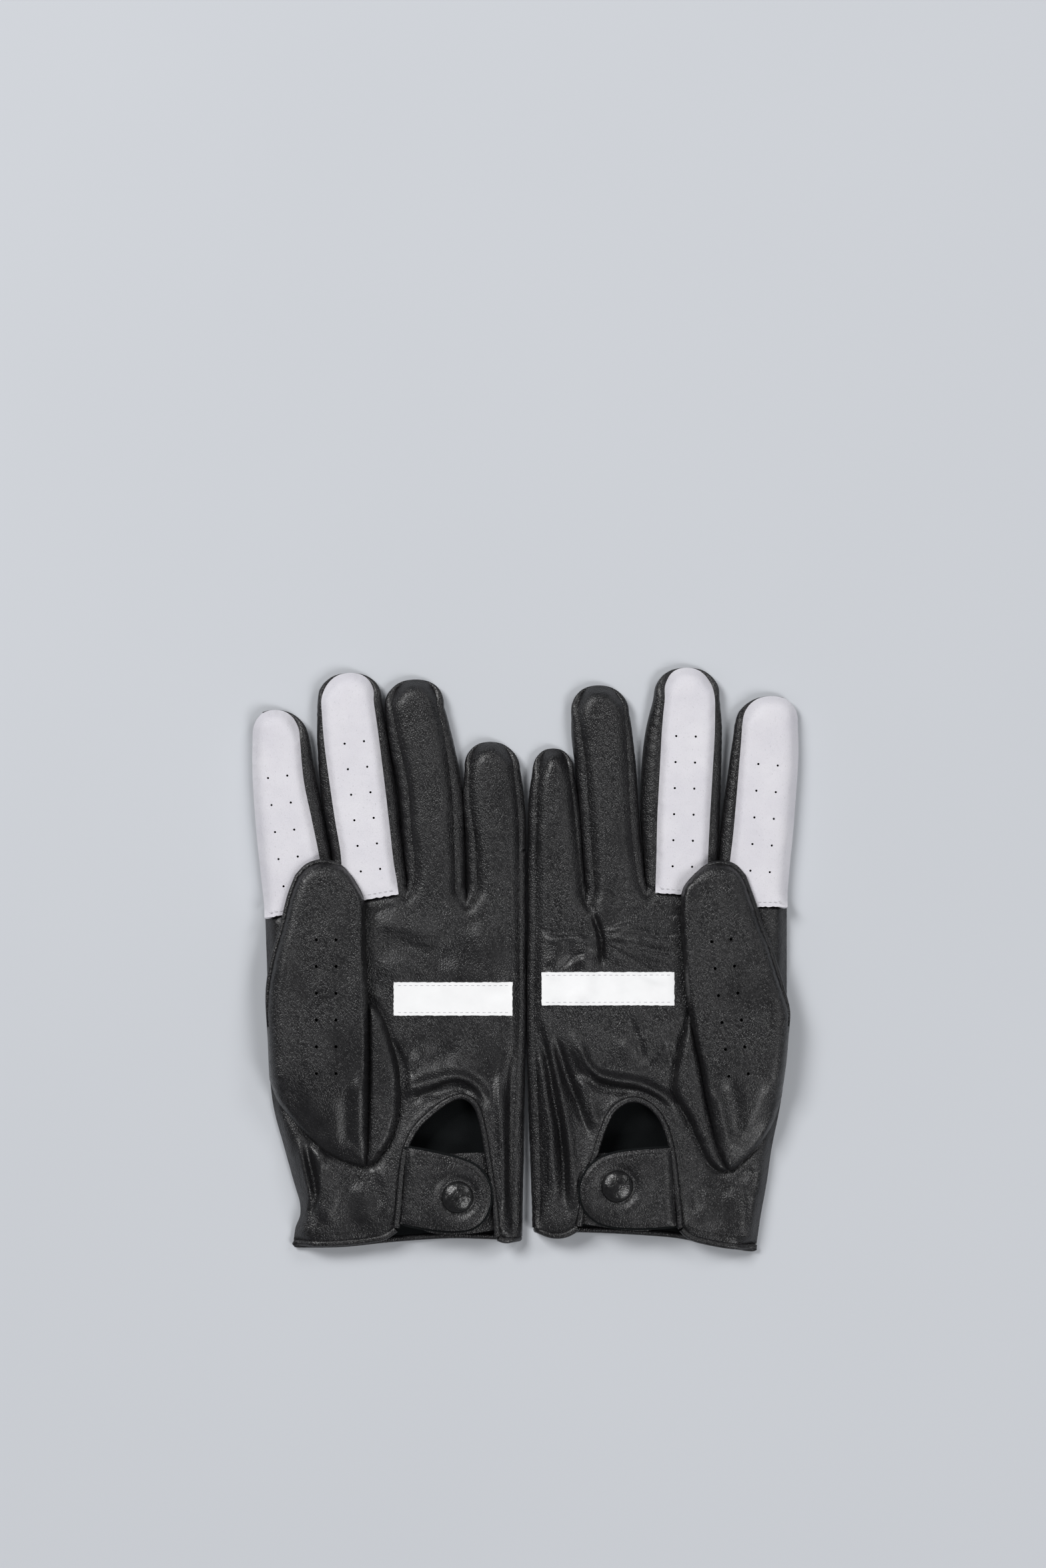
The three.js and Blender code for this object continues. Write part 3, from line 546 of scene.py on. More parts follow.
def white_coat():
    """The palm band's white finish over fine pebbles."""
    n = Nodes("white_coat")
    pebbles = n.cells(1.0, (1.0, 0.72, 1.0), 24, "SMOOTH_F1")
    colour = n.ramp(n.noise(9.0, 3.0), (0.3, (0.90, 0.90, 0.905)), (0.7, (0.95, 0.95, 0.955)))
    return n.finish(Base_Color=colour, Roughness=0.5, Normal=n.bump(pebbles, 0.06, 0.5))


def thread(name, colour):
    """Twisted sewing thread."""
    n = Nodes(name)
    twist = n.noise(0.25, 2.0, 0.5, (1, 0.4, 1), 35)
    shade = n.ramp(twist, (0.3, tuple(0.6 * c for c in colour)), (0.7, colour))
    return n.finish(Base_Color=shade, Roughness=0.6, Normal=n.bump(twist, 0.08, 0.8))


def snap_metal():
    """Dark plated brass, worn bright in patches."""
    n = Nodes("snap_metal")
    brush = n.noise(0.5, 4.0, 0.7, (1, 0.1, 1))
    wear = n.noise(2.2, 3.0)
    colour = n.ramp(wear, (0.45, (0.05, 0.05, 0.055)), (0.75, (0.30, 0.29, 0.27)))
    return n.finish(Base_Color=colour, Metallic=1.0, Roughness=n.ramp(brush, (0.3, 0.28), (0.7, 0.45)),
                    Normal=n.bump(brush, 0.02, 0.5))


def black_elastic():
    """Ribbed woven elastic."""
    n = Nodes("black_elastic")
    inputs = {"Vector": n.mapped(), "Scale": 0.55, "Distortion": 0.6}
    ribs = n.add("ShaderNodeTexWave", inputs, bands_direction="X").outputs[0]
    colour = n.ramp(ribs, (0.2, (0.006, 0.006, 0.007)), (0.8, (0.022, 0.022, 0.023)))
    return n.finish(Base_Color=colour, Roughness=0.9, Normal=n.bump(ribs, 0.25, 0.8))


NAPPA = black_leather()
POLISHED = polished_leather()
SUEDE = black_suede()
PALE = white_suede()
COAT = white_coat()
BLACK_THREAD = thread("black_thread", (0.0045, 0.0045, 0.005))
WHITE_THREAD = thread("white_thread", (0.74, 0.73, 0.76))
METAL = snap_metal()
ELASTIC = black_elastic()
# A sheet's outer side, cut edge and inner side.
FLESHED = [NAPPA, NAPPA, SUEDE]
CUT_EDGED = [NAPPA, SUEDE, SUEDE]

# ---- The two gloves ----
# Shapes that the CAD panels don't hold, in plan millimetres. A fold is its path, its width and its height, a
# crease its path, its width and its depth, and a wrinkle its path alone.
GLOVES = {
    "left": {
        "vent_ends": ((10.6, -107.4), (50.6, -104)),
        "hem_ends": ((5.2, -108), (90.8, -109.6)),
        "back_hem_ends": ((1.6, -108), (91.2, -110.6)),
        "oval": ((100.1, -46.8), (97, -54.6), (91.3, -61.9), (84.8, -68.9), (80.1, -73.3), (73.6, -77.5),
            (67.1, -79.8), (62.4, -80.6), (59.3, -79.3), (54.1, -72.8), (51.5, -67.6), (49.4, -59.8),
            (48.9, -49.4), (49.4, -41.6), (51.5, -33.8), (54.1, -26), (57.2, -19.5), (62, -14.5)),
        "crease": ((62.2, -80.3), (61.3, -72), (61.1, -50), (61.1, -31), (61.5, -10), (62.2, 6), (62.4, 20),
            (63.6, 26), (67.5, 33)),
        "thumb_tip": ((72, 36.8), (78.3, 38.2), (84.5, 36.6)),
        "thumb_outer": ((88.6, 32.5), (91.6, 24.5), (94.4, 13), (97.4, 2.6), (99.9, -10.4), (100.6, -22),
            (100.5, -36)),
        "folds": [
            (((49.5, -54), (45, -50.4), (36.4, -47.2), (26, -45.6), (17.6, -50.6), (14.6, -59)), 2.6, 2),
            (((41, -55), (34, -51.5), (26, -49.8), (19.5, -53.5)), 2.2, -1),
            (((10.5, -40), (9.8, -60), (8.6, -80), (8.4, -104)), 2, 1.3),
            (((4.6, -34), (5.8, -50), (6.4, -80), (6.6, -104)), 1, -1.2),
            (((60, 14), (50, 13), (38, 10), (26, 12)), 5, 0.9),
            (((60, 4), (50, 7), (38, 2), (24, 2)), 4, -0.7),
            (((59, -6), (46, -1), (34, -4)), 5, 0.7),
            (((20, 16), (15, 0), (12, -14)), 5, 0.8),
            (((82, -70), (79.6, -80), (79, -90), (82.5, -99)), 2.4, 1.2),
            (((89, -68), (87, -78), (84.6, -88), (83.6, -94), (86, -99.5)), 1.5, 1.1),
            (((86, -70), (84, -80), (82.2, -89), (83.4, -97), (86.5, -101.5)), 1.4, -1.3),
            (((74, -84), (75, -95), (80, -102)), 4, 0.9),
            (((66, -86), (62, -96), (60, -104)), 4.5, 0.8),
            (((57, -79), (54, -90), (55.5, -102)), 2.6, 0.8),
            (((46, -36), (40, -39), (34, -37), (26, -38)), 4.5, -0.9),
            (((52, -30), (47, -44), (49, -54)), 1.4, -0.8),
        ],
        "creases": [
            (((47, -56), (42, -53.6), (36.4, -51.2), (31, -47.8), (26, -47), (21, -49.6),
              (17.4, -55)), 0.9, 1.5),
            (((85.2, -76), (83.2, -86), (82.2, -94), (84.6, -100)), 0.8, 1.1),
            (((78.6, -78), (78, -88), (80, -97)), 1.3, 1),
            (((72, -84), (72.5, -93), (76, -101)), 1.4, 0.6),
            (((7, 62), (7.4, 44), (7, 24), (6.6, 4), (6.4, -20)), 1, 0.9),
            (((10.6, 44), (10.4, 26), (9.4, 8)), 1.2, 0.5),
            (((60, 9), (52, 11), (40, 8.4), (30, 9.6)), 0.9, 0.45),
            (((58, 2), (48, 5), (36, 4.2)), 0.9, 0.4),
            (((60.5, 17), (56, 19.6), (50, 20.2)), 0.9, 0.5),
        ],
        "wrinkles": [],
        "thumb_folds": [
            (((94, -44), (90.5, -54), (84, -64), (76, -70)), 4.5, -1.5),
            (((65, -42), (65, -58), (65.5, -76)), 2.2, 1.2),
            (((70, -50), (70, -64), (68, -75)), 2.6, -0.8),
            (((90, 18), (93, 4), (95, -14), (95, -40)), 2.6, 0.6),
            (((66, 24), (65, 0), (64.5, -30)), 2.4, 0.5),
            (((70, 20), (88, 14)), 4, -0.3),
        ],
    },
    "right": {
        "vent_ends": ((20.4, -103.4), (60.6, -103.6)),
        "hem_ends": ((5.2, -104.6), (90.4, -111.2)),
        "back_hem_ends": ((3.4, -104.6), (90.2, -112.4)),
        "oval": ((100.4, -49.9), (99.8, -54.3), (97, -62.7), (92.8, -69.7), (87.4, -75.9), (81.9, -80.9),
            (78.3, -82.4), (74.9, -82.2), (71.5, -79.3), (68.6, -73.8), (64.2, -63.7), (60.3, -56.7),
            (57.7, -51.5), (57.5, -46), (59, -36.9), (61.1, -29.4), (63.4, -22.4), (67.5, -17.5)),
        "crease": ((78.6, -81.8), (74.6, -72.5), (71.8, -61.4), (69.9, -52.3), (68.1, -41.6), (65.8, -30.9),
            (62.7, -15.6), (61.6, -4.2), (60.3, 11.2), (60.2, 21.8), (61.4, 28.5), (65.6, 33.8)),
        "thumb_tip": ((70, 36.8), (75.7, 37.7), (80.8, 36.4)),
        "thumb_outer": ((84.6, 32.4), (88.7, 21.1), (91.3, 12.9), (94.3, 5.8), (96.9, -2.4), (99.6, -10.8),
            (102.2, -19), (102.6, -25), (101.9, -38)),
        "folds": [
            (((18.5, -24), (20, -32), (23.6, -40.6), (28.3, -44.7), (35, -46.6), (43.7, -48), (51.2, -51.2),
              (57, -55.3), (60.5, -61)), 2.3, 2.6),
            (((24, -46), (29, -49.5), (36, -50.6), (44, -51)), 1.8, -1),
            (((20, -44), (23, -50), (25.5, -57), (26, -66)), 2.6, 1.6),
            (((4.6, -20), (6.2, -31), (8.6, -41), (10.9, -54.6), (13.3, -66.6), (14.8, -78), (15.4, -91.8),
              (16, -103)), 1.5, -2.2),
            (((9, -30), (11.6, -44), (14.4, -56), (17, -70), (18, -86), (18.4, -102)), 2.2, 1.5),
            (((10.9, -28), (15.3, -44), (20.8, -58), (25.4, -70)), 1.5, -1.8),
            (((5.2, -36), (7.6, -52), (9.6, -68), (10, -92)), 2.4, 1.3),
            (((25.7, 19), (28.3, 12.7), (29.6, 6.8), (29.9, -3)), 0.9, -1.7),
            (((24, 12), (23, 4), (24, -6), (22, -20)), 4, 1.1),
            (((14, 12), (11, -4), (12, -20)), 4, 0.7),
            (((34, 16), (38, 4), (37, -14)), 4.5, 0.7),
            (((60, -30), (50, -31), (40, -34), (33, -32)), 4, 0.8),
            (((60, -40), (52, -42), (44, -41)), 3, -0.8),
            (((40, -22), (44, -32), (46, -40)), 1.5, -0.7),
            (((80, -88), (84, -98), (86, -108)), 5, 0.7),
            (((88, -80), (87, -92)), 4, -0.6),
            (((66, -86), (66.5, -98)), 2.2, 0.6),
        ],
        "creases": [
            (((18.6, -27), (20.4, -35), (24.4, -43), (29.5, -47.4), (36, -49), (44, -50.4), (51, -53.6),
              (56.5, -58)), 1, 1.9),
            (((22.6, -47), (24.6, -54), (24, -64)), 0.9, 1.4),
            (((6.8, -26), (8.4, -36), (11.2, -48), (13.8, -60), (15.2, -74)), 0.8, 1.6),
            (((12.4, -30), (15.6, -40), (19, -50), (22, -60)), 0.8, 1.3),
            (((12.6, -66), (13.6, -80), (13.8, -98)), 0.9, 1.2),
            (((5.8, -40), (7.6, -56), (8.2, -74), (7.4, -95)), 0.9, 0.9),
            (((17.4, -76), (18.6, -90), (17.6, -101)), 0.8, 0.8),
            (((26, 22), (27.8, 14), (29.4, 7), (29.8, -3.4)), 0.7, 1.5),
            (((55, -33), (50, -37), (47, -44)), 0.8, 0.7),
            (((63.4, -62), (62.4, -72), (62.8, -84)), 1, 0.8),
            (((86, -84), (87, -96), (86, -107)), 1.2, 0.7),
        ],
        "wrinkles": [
            ((30, 12.5), (40, 15.5), (50, 17), (61, 17.5)),
            ((30.5, 10), (42, 11.5), (52, 9.5), (61, 10.5)),
            ((30.5, 8), (40, 6), (50, 4), (60, 2.5)),
            ((31, 6), (38, 2.5), (46, -3), (57, -7)),
            ((27.5, 9), (20, 11), (12, 10.5), (6, 12)),
            ((28.5, 3), (20, 2), (13, -3), (6, -2)),
            ((43, -14), (45, -22), (47.5, -30)),
            ((56, -32), (58, -40), (58.5, -46)),
        ],
        "thumb_folds": [
            (((97, -44), (95, -58), (88, -68), (81, -74)), 4, -1.3),
            (((73, -48), (76, -60), (79, -74)), 2.2, 1.2),
            (((78, -44), (82, -58), (82, -72)), 3, -0.9),
            (((88, 20), (93, 6), (98, -10), (99, -24)), 2.4, 0.5),
            (((64, 28), (64, 0), (67, -24)), 2.4, 0.5),
            (((66, -21), (84, -19), (100, -21)), 2.2, -0.35),
        ],
    },
}

PALM_UNEVENNESS = {"left": 0.34, "right": 0.42}
FOLD_GAIN = 1.45  # deepens all the folds together
FRONT_CUTS = {"ring": 35.0, "little": 31.5}  # the y at which each finger's front parts from the palm
BACK_CUTS = {"index": 33.0, "middle": 38.0, "ring": 36.0, "little": 31.5}  # the same for the backs
BACK_ROWS = ((38, 30), (48, 48), (58, 66))  # u of each pair of stitch rows at the wrist and at the knuckles
WRIST_ROWS = (-89.5, -96.5)
STRIP_NODES = {
    "index": ("index_side", "fourchette_index_middle"),
    "middle": ("middle_side", "fourchette_middle_ring"),
    "ring": ("ring_side", "fourchette_ring_little"),
    "little": ("little_side",),
}

# Perforations: the middle of the first row, the middle of the last row, and how many rows.
HOLE_RADIUS = {"index": 0.45, "middle": 0.45, "thumb": 0.62}
HOLE_ACROSS = 7.6  # between the two holes of a row
LAST_LEFT_HOLE = (94.4, 28.9)  # the last row on the left index finger has one hole
PERFORATIONS = {
    "left": {"index": ((96.7, 71.6), (92.6, 40.0), 4), "middle": ((66.8, 85.0), (60.5, 35.2), 6),
             "thumb": ((77.5, 8.3), (77.5, -43.7), 6)},
    "right": {"index": ((94.5, 76.3), (91.4, 34.7), 5), "middle": ((62.5, 87.4), (61.1, 36.6), 6),
              "thumb": ((76.0, 8.0), (82.7, -44.3), 6)},
}

STITCH_SIDES = 6
STITCH_RINGS = ((-0.5, 0.35), (-0.36, 0.9), (0, 1.0), (0.36, 0.9), (0.5, 0.35))  # place along, and fatness
STRAP_CLOSER = 0.8  # the strap's mesh spacing against the other panels'
CAP_RINGS, CAP_AROUND = 16, 48
CAP_RADIUS, CAP_Z, CAP_RISE = 6.3, 11.7, 3.3
RIB_PITCH = 3.1


# ---- Shared building steps ----
def span(loop, a, b):
    """The stretch of a closed outline from the point nearest to a, forwards, to the point nearest to b."""
    first, last = (np.argmin(np.linalg.norm(loop - np.asarray(p, float), axis=1)) for p in (a, b))
    return np.roll(loop, -first, 0)[: (last - first) % len(loop) + 1]


def at_height(path, y):
    """The path's point whose y is nearest to the one given."""
    return path[np.argmin(abs(path[:, 1] - y))]


def beyond(points, cut):
    """Which points lie on the fingertip's side of the line through a cut's two ends."""
    slope = (cut[1, 1] - cut[0, 1]) / (cut[1, 0] - cut[0, 0])
    return points[:, 1] > cut[:, 1].mean() + (points[:, 0] - cut[:, 0].mean()) * slope


def painted(outline, z, roll, *strokes):
    """The height and roll along an outline: everywhere z and roll, except near the strokes' paths."""
    edge_z, edge_roll = np.full(len(outline), float(z)), np.full(len(outline), float(roll))
    for path, stroke_z, stroke_roll in strokes:
        d, i = nearest(outline, path)
        near = d < STROKE_REACH
        edge_z[near] = stroke_z[i[near]] if np.ndim(stroke_z) else stroke_z
        edge_roll[near] = stroke_roll
    for _ in range(EDGE_ROUNDS):
        edge_z = (np.roll(edge_z, 1) + 2 * edge_z + np.roll(edge_z, -1)) / 4
        edge_roll = (np.roll(edge_roll, 1) + 2 * edge_roll + np.roll(edge_roll, -1)) / 4
    return edge_z, edge_roll


def softened(values, rounds):
    """Values along an open path, smoothed in place, with its two ends kept."""
    for _ in range(rounds):
        values[1:-1] = (values[:-2] + 2 * values[1:-1] + values[2:]) / 4
    return values


def circle(centre, radius, count=12):
    angle = np.linspace(0, -2 * math.pi, count, endpoint=False)
    return np.asarray(centre) + radius * np.stack([np.cos(angle), np.sin(angle)], 1)


def perforations(side, name):
    first, last, rows = PERFORATIONS[side][name]
    first, last = np.array(first), np.array(last)
    across = np.array([-(last - first)[1], (last - first)[0]])
    across *= HOLE_ACROSS / 2 / np.linalg.norm(across)
    centres = [first + (last - first) * k / (rows - 1) for k in range(rows)]
    holes = [circle(c + way * across, HOLE_RADIUS[name]) for c in centres for way in (-1, 1)]
    if (side, name) == ("left", "index"):
        holes.append(circle(LAST_LEFT_HOLE, HOLE_RADIUS[name]))
    return holes


def offset(path, amount):
    """The path moved to its right."""
    along = unit(np.gradient(path, axis=0))
    return path + amount * np.stack([along[:, 1], -along[:, 0]], 1)


def offset_loop(loop, amount):
    """A closed outline moved outwards."""
    return offset(np.concatenate([loop, loop[:1]]), amount)[:-1]


def even_loop(loop, spacing, corner=60):
    """A closed outline respaced evenly, then made smooth except at its corners."""
    return smooth_loop(resample(np.concatenate([loop, loop[:1]]), spacing)[:-1], corner)


def stitches(name, sign, path, surface, material, pitch=2.3, length=1.55, width=0.42, proud=0.12):
    """A row of stitches along a path in plan. surface gives the height under each point."""
    path = resample(np.asarray(path, float), pitch)
    middles = (path[:-1] + path[1:]) / 2
    along = unit(np.diff(path, axis=0))
    ends_z = np.stack([surface(middles - along * length / 2), surface(middles + along * length / 2)], 1)
    points, faces, normals = [], [], []
    for m, t, (z0, z1) in zip(middles, along, ends_z):
        ends = np.array([[*(m - t * length / 2), z0], [*(m + t * length / 2), z1]])
        direction = unit(ends[1] - ends[0])
        across = unit(np.cross(direction, [0, 0, 1.0]))
        rise = np.cross(across, direction)
        first = len(points)
        for at, fat in STITCH_RINGS:
            centre = ends.mean(0) + direction * at * length + [0, 0, proud - 0.25 * (1 - fat)]
            for k in range(STITCH_SIDES):
                angle = 2 * math.pi * k / STITCH_SIDES
                n = across * math.cos(angle) + rise * math.sin(angle)
                points.append(centre + n * width / 2 * fat)
                normals.append(unit(n + direction * at))
        for row in range(len(STITCH_RINGS) - 1):
            for k in range(STITCH_SIDES):
                a = first + row * STITCH_SIDES + k
                b = first + row * STITCH_SIDES + (k + 1) % STITCH_SIDES
                faces.append([a, a + STITCH_SIDES, b + STITCH_SIDES, b])
        last = first + (len(STITCH_RINGS) - 1) * STITCH_SIDES
        faces.append([first + k for k in range(STITCH_SIDES)])
        faces.append([last + k for k in range(STITCH_SIDES)][::-1])
    normals = np.array(normals)
    return make_object(name, sign, points, faces, np.concatenate([normals[f] for f in faces]), [material])


def bend(piece):
    """Bakes the placement of a finger's or the thumb's piece into its mesh."""
    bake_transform(piece)


def side_band(name, sign, front, front_z, back, back_z, bulge, seed, rows=9):
    """A puffy strip from a front panel's edge out and down to the back panel's edge."""
    along = unit(np.gradient(front, axis=0))
    out = np.stack([along[:, 1], -along[:, 0]], 1)
    reach = ((back - front) * out).sum(1)
    drop = back_z - front_z
    chord = np.hypot(reach, drop)
    v = np.linspace(0, 1, rows)[:, None]
    s = lengths(front)
    swell = bulge * np.sin(math.pi * v) ** 0.6 * smoothstep(np.abs(reach) / 2.5)
    on_strip = np.stack([np.tile(s, rows), np.repeat(v[:, 0], len(s)) * 5], 1)
    wrinkles = noise(on_strip, 1.5, seed, 90, 3) + noise(on_strip, 7, seed + 1)
    swell = swell * (1 + 0.07 * wrinkles.reshape(rows, -1))
    plan = front[None] + (back - front)[None] * v[..., None] + out[None] * (swell * -drop / chord)[..., None]
    z = front_z + drop * v + swell * np.maximum(reach, 0) / chord
    co = np.concatenate([plan, z[..., None]], 2).reshape(-1, 3)
    return shell(name, sign, co, grid_tris(rows, len(front))[:, ::-1], FLESHED)


def leather_noise(points, seed, amount):
    """Slow swells, softer wrinkles across them, and small puckers."""
    return amount * (noise(points, 17, seed, 20, 1.6) + 0.45 * noise(points, 6.5, seed + 1, 35, 2.2)
                     + 0.16 * noise(points, 2.6, seed + 2, 15, 2.4))


# ---- One glove ----
def build(side):
    sign, shape = SIDES[side], GLOVES[side]
    seed = SEEDS[side]

    def node(name):
        return f"{side}_{name}"

    hand = node("glove")
    seat = {f: np.array(JOINTS[node(f"{f}_curl")]["pos_m"][:2]) / MM * [sign, 1] for f in FINGERS}

    def keep(piece, slot, *nodes, body=None, part=None):
        """Attaches a piece to its body, or for a finger or the thumb only bakes its placement, and hides the
        CAD nodes it stands for. slot is not used.
        """
        if part:
            bend(piece)
        else:
            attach(piece, body or hand)
        if nodes:
            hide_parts(*[node(n) for n in nodes])

    def lay(name, panel, slot, *nodes, skins=FLESHED, thickness=LEATHER, closer=1.0, down=False, **rides):
        """A whole panel as one piece. closer scales its mesh's spacing, and down makes it face the floor."""
        xy, z, tris = panel.mesh(closer * SPACING)
        if down:
            tris = tris[:, ::-1]
        keep(shell(node(name), sign, np.column_stack([xy, z]), tris, skins, thickness), slot, *nodes, **rides)

    def sew(name, row, surface, white=False, part=None, body=None, **size):
        """A row of stitches as one piece."""
        piece = stitches(node(name), sign, row, surface, WHITE_THREAD if white else BLACK_THREAD, **size)
        keep(piece, "white_thread" if white else "black_thread", part=part, body=body)

    # Outlines in plan.
    palm_loops = rim(node("palm_panel"), sign)
    fronts = {f: rim(node(f"{f}_front"), sign)[0] for f in FINGERS}
    for f in WHITE_FINGERS:
        fronts[f] = joined(rim(node(f"{f}_front_base"), sign)[0], fronts[f], seat[f])
    whole = palm_loops[0]
    for f in DARK_FINGERS:
        whole = joined(whole, fronts[f], seat[f])
    around = whole
    for f in WHITE_FINGERS:
        base = fronts[f][np.argsort(fronts[f][:, 1])[:2]].mean(0)
        around = joined(around, fronts[f], base)
    under = rim(node("back_panel"), sign, top=False)[0]
    for f in FINGERS:
        under = joined(under, rim(node(f"{f}_back"), sign, top=False)[0], seat[f])
    palm_line, around, under = smooth_loop(whole), smooth_loop(around), smooth_loop(under)

    hem_corner, back_corner = shape["hem_ends"][0], shape["back_hem_ends"][0]
    hem_back = span(under, *shape["back_hem_ends"])
    back_line = smooth_loop(offset_loop(under, -0.8), 60)
    back_line[nearest(back_line, hem_back)[0] < STROKE_REACH, 1] -= BINDING_REACH

    tips = {f: fronts[f][np.argmax(fronts[f][:, 1])] for f in FINGERS}

    def dip(loop, a, b):
        """The lowest point of an outline between two fingers."""
        stretch = span(loop, tips[a], tips[b])
        return stretch[np.argmin(stretch[:, 1])]

    dips = {a: {"front": dip(around, a, b), "back": dip(under, a, b)} for a, b in zip(FINGERS, FINGERS[1:])}
    outer_side = span(under, shape["back_hem_ends"][1], tips["index"])

    # The palm, with the ring and little fingers' fronts.
    vent_line = span(palm_line, *shape["vent_ends"])
    hem = [span(palm_line, shape["hem_ends"][0], shape["vent_ends"][0]),
           span(palm_line, shape["vent_ends"][1], shape["hem_ends"][1])]
    oval = curve(shape["oval"])

    def palm_relief(points):
        h = leather_noise(points, seed, PALM_UNEVENNESS[side])
        to_vent = nearest(points, vent_line)[0]
        h = h + 1.0 * np.exp(-(to_vent / 7) ** 2) - 0.9 * np.exp(-(nearest(points, oval)[0] / 1.6) ** 2)
        for path, width, height in shape["folds"]:
            h = h + FOLD_GAIN * fold(points, path, width, height)
        for path, width, depth in shape["creases"]:
            h = h + crease(points, path, width, depth)
        for path in shape["wrinkles"]:
            h = h + crease(points, path, 0.8, 1.1) + fold(points, np.array(path) - [0, 2.2], 1.8, 0.6)
        up_finger = points[:, 1] - 30
        for _ in DARK_FINGERS:
            h = h * (1 - 0.6 * smoothstep(up_finger / 12)) + 0.2 * smoothstep(up_finger / 20)
        return h

    finger_tips = [span(palm_line, tips[f] + [7, -6], tips[f] - [7, 6]) for f in DARK_FINGERS]
    hem_rise = EDGE_Z + (HEM_Z - EDGE_Z) * smoothstep((nearest(hem[1], outer_side)[0] - 1.5) / 7)
    palm_edge = painted(
        palm_line, SEAM_Z, SEAM_ROLL,
        (outer_side, EDGE_Z, EDGE_ROLL), (vent_line, VENT_Z, 1.6), (hem[0], HEM_Z, 3.5),
        (hem[1], hem_rise, 4.0), (finger_tips[0], TIP_Z, 6.5), (finger_tips[1], TIP_Z, 6.0))
    palm_holes = [smooth_loop(hole, 60, 1.5) for hole in palm_loops[1:]]
    palm = Panel(palm_line, PALM_Z, palm_edge, palm_relief, palm_holes, soften=5)
    cuts = []
    for f, start, end in (("ring", dips["middle"]["front"], dips["ring"]["front"]),
                          ("little", dips["ring"]["front"], hem_corner)):
        cuts.append(np.array([at_height(span(palm_line, start, tips[f]), FRONT_CUTS[f]),
                              at_height(span(palm_line, tips[f], end), FRONT_CUTS[f])]))
    xy, z, tris = palm.mesh(lines=[resample(cut, SPACING)[1:-1] for cut in cuts])
    co = np.column_stack([xy, z])
    normals = vertex_normals(co, tris)
    gap = dips["ring"]["front"][0]
    middle = xy[tris].mean(1)
    on_ring = beyond(middle, cuts[0]) & (middle[:, 0] > gap) & (middle[:, 0] < tips["middle"][0] - 8)
    on_little = beyond(middle, cuts[1]) & (middle[:, 0] < gap)
    piece = shell(node("palm"), sign, co, tris[~on_ring & ~on_little], FLESHED, normals=normals)
    keep(piece, "black_leather", "palm_panel")
    for f, which in (("ring", on_ring), ("little", on_little)):
        piece = shell(node(f"{f}_front_leather"), sign, co, tris[which], FLESHED, normals=normals)
        keep(piece, "black_leather", f"{f}_front", part=f)

    # The white fronts of the index and middle fingers.
    panels = {"ring": palm, "little": palm}
    for f in WHITE_FINGERS:
        raw = fronts[f].copy()
        low = raw[:, 1] < np.sort(raw[:, 1])[1] + 0.1
        raw[low, 1] -= 1.4
        line = smooth_loop(raw)
        corners = raw[low]
        inner, outer = corners[np.argmin(corners[:, 0])], corners[np.argmax(corners[:, 0])]
        base = span(line, inner, outer)
        base[1:-1] += 0.22 * np.random.default_rng(seed).uniform(-1, 1, (len(base) - 2, 1)) * [0, 1]
        first = np.argmin(np.linalg.norm(line - inner, axis=1))
        line[(first + np.arange(len(base))) % len(line)] = base
        strokes = [(base, 8.75, 2.0), (span(line, tips[f] + [9, -7], tips[f] - [8, 7]), TIP_Z, 7.0)]
        if f == "index":
            strokes.insert(0, (outer_side, EDGE_Z, EDGE_ROLL))
        edge = painted(line, SEAM_Z, SEAM_ROLL, *strokes)

        def front_relief(points, seed=seed + len(f)):
            return 0.28 * noise(points, 14, seed, 80, 1.5) + 0.08 * noise(points, 4, seed + 1)

        panels[f] = Panel(line, FRONT_Z, edge, front_relief, perforations(side, f))
        lay(f"{f}_front_suede", panels[f], "white_suede", f"{f}_front", f"{f}_front_base",
            skins=[PALE] * 3, part=f)
        row = resample(offset(base[1:-1], -1.9), 0.5)
        row[:, 1] = np.interp(row[:, 0], base[[0, -1], 0], base[[0, -1], 1]) + 1.8
        row = row[(row[:, 0] > base[0, 0] + 1.5) & (row[:, 0] < base[-1, 0] - 1.5)]
        sew(f"{f}_hem_stitches", row, panels[f].height, True, f,
            pitch=2.1, length=1.3, width=0.34, proud=0.05)

    # The strips at the fingers' sides, from one crotch over the tip to the next.
    for k, f in enumerate(FINGERS):
        back_tip = under[np.argmin(np.linalg.norm(under - tips[f], axis=1))]
        first_start = tips[f] + [4.5, -1.2]
        starts = dips[FINGERS[k - 1]] if k else {"front": first_start, "back": first_start}
        ends = dips[f] if f != "little" else {"front": hem_corner, "back": back_corner}
        halves = []
        for a, b in (("start", "tip"), ("tip", "end")):
            front_marks = {"start": starts["front"], "tip": tips[f], "end": ends["front"]}
            back_marks = {"start": starts["back"], "tip": back_tip, "end": ends["back"]}
            front = span(around, front_marks[a], front_marks[b])
            back = span(under, back_marks[a], back_marks[b])
            count = max(4, int(lengths(front)[-1] / (0.8 * SPACING)))
            halves.append((resample(front, count=count), resample(back, count=count)))
        front = np.concatenate([halves[0][0][:-1], halves[1][0]])
        back = np.concatenate([halves[0][1][:-1], halves[1][1]])
        d, i = nearest(front, panels[f].outline)
        front_z = panels[f].edge_z[i] - STRIP_DROP
        d_palm, i_palm = nearest(front, palm.outline)
        lower = d_palm < d
        front_z[lower] = palm.edge_z[i_palm[lower]] - STRIP_DROP
        piece = side_band(node(f"{f}_fourchette"), sign, offset(front, -0.5), softened(front_z, 6), back,
                          np.full(len(back), 1.2), 1.95, seed + 7 * k)
        keep(piece, "black_leather", *STRIP_NODES[f], part=f)
        if f == "ring":
            seam = offset(front, -0.15)
            seam = seam[(seam[:, 1] < tips[f][1] - 13) & (seam[:, 1] > 24)]
            apart = np.where(np.linalg.norm(np.diff(seam, axis=0), axis=1) > 5)[0]
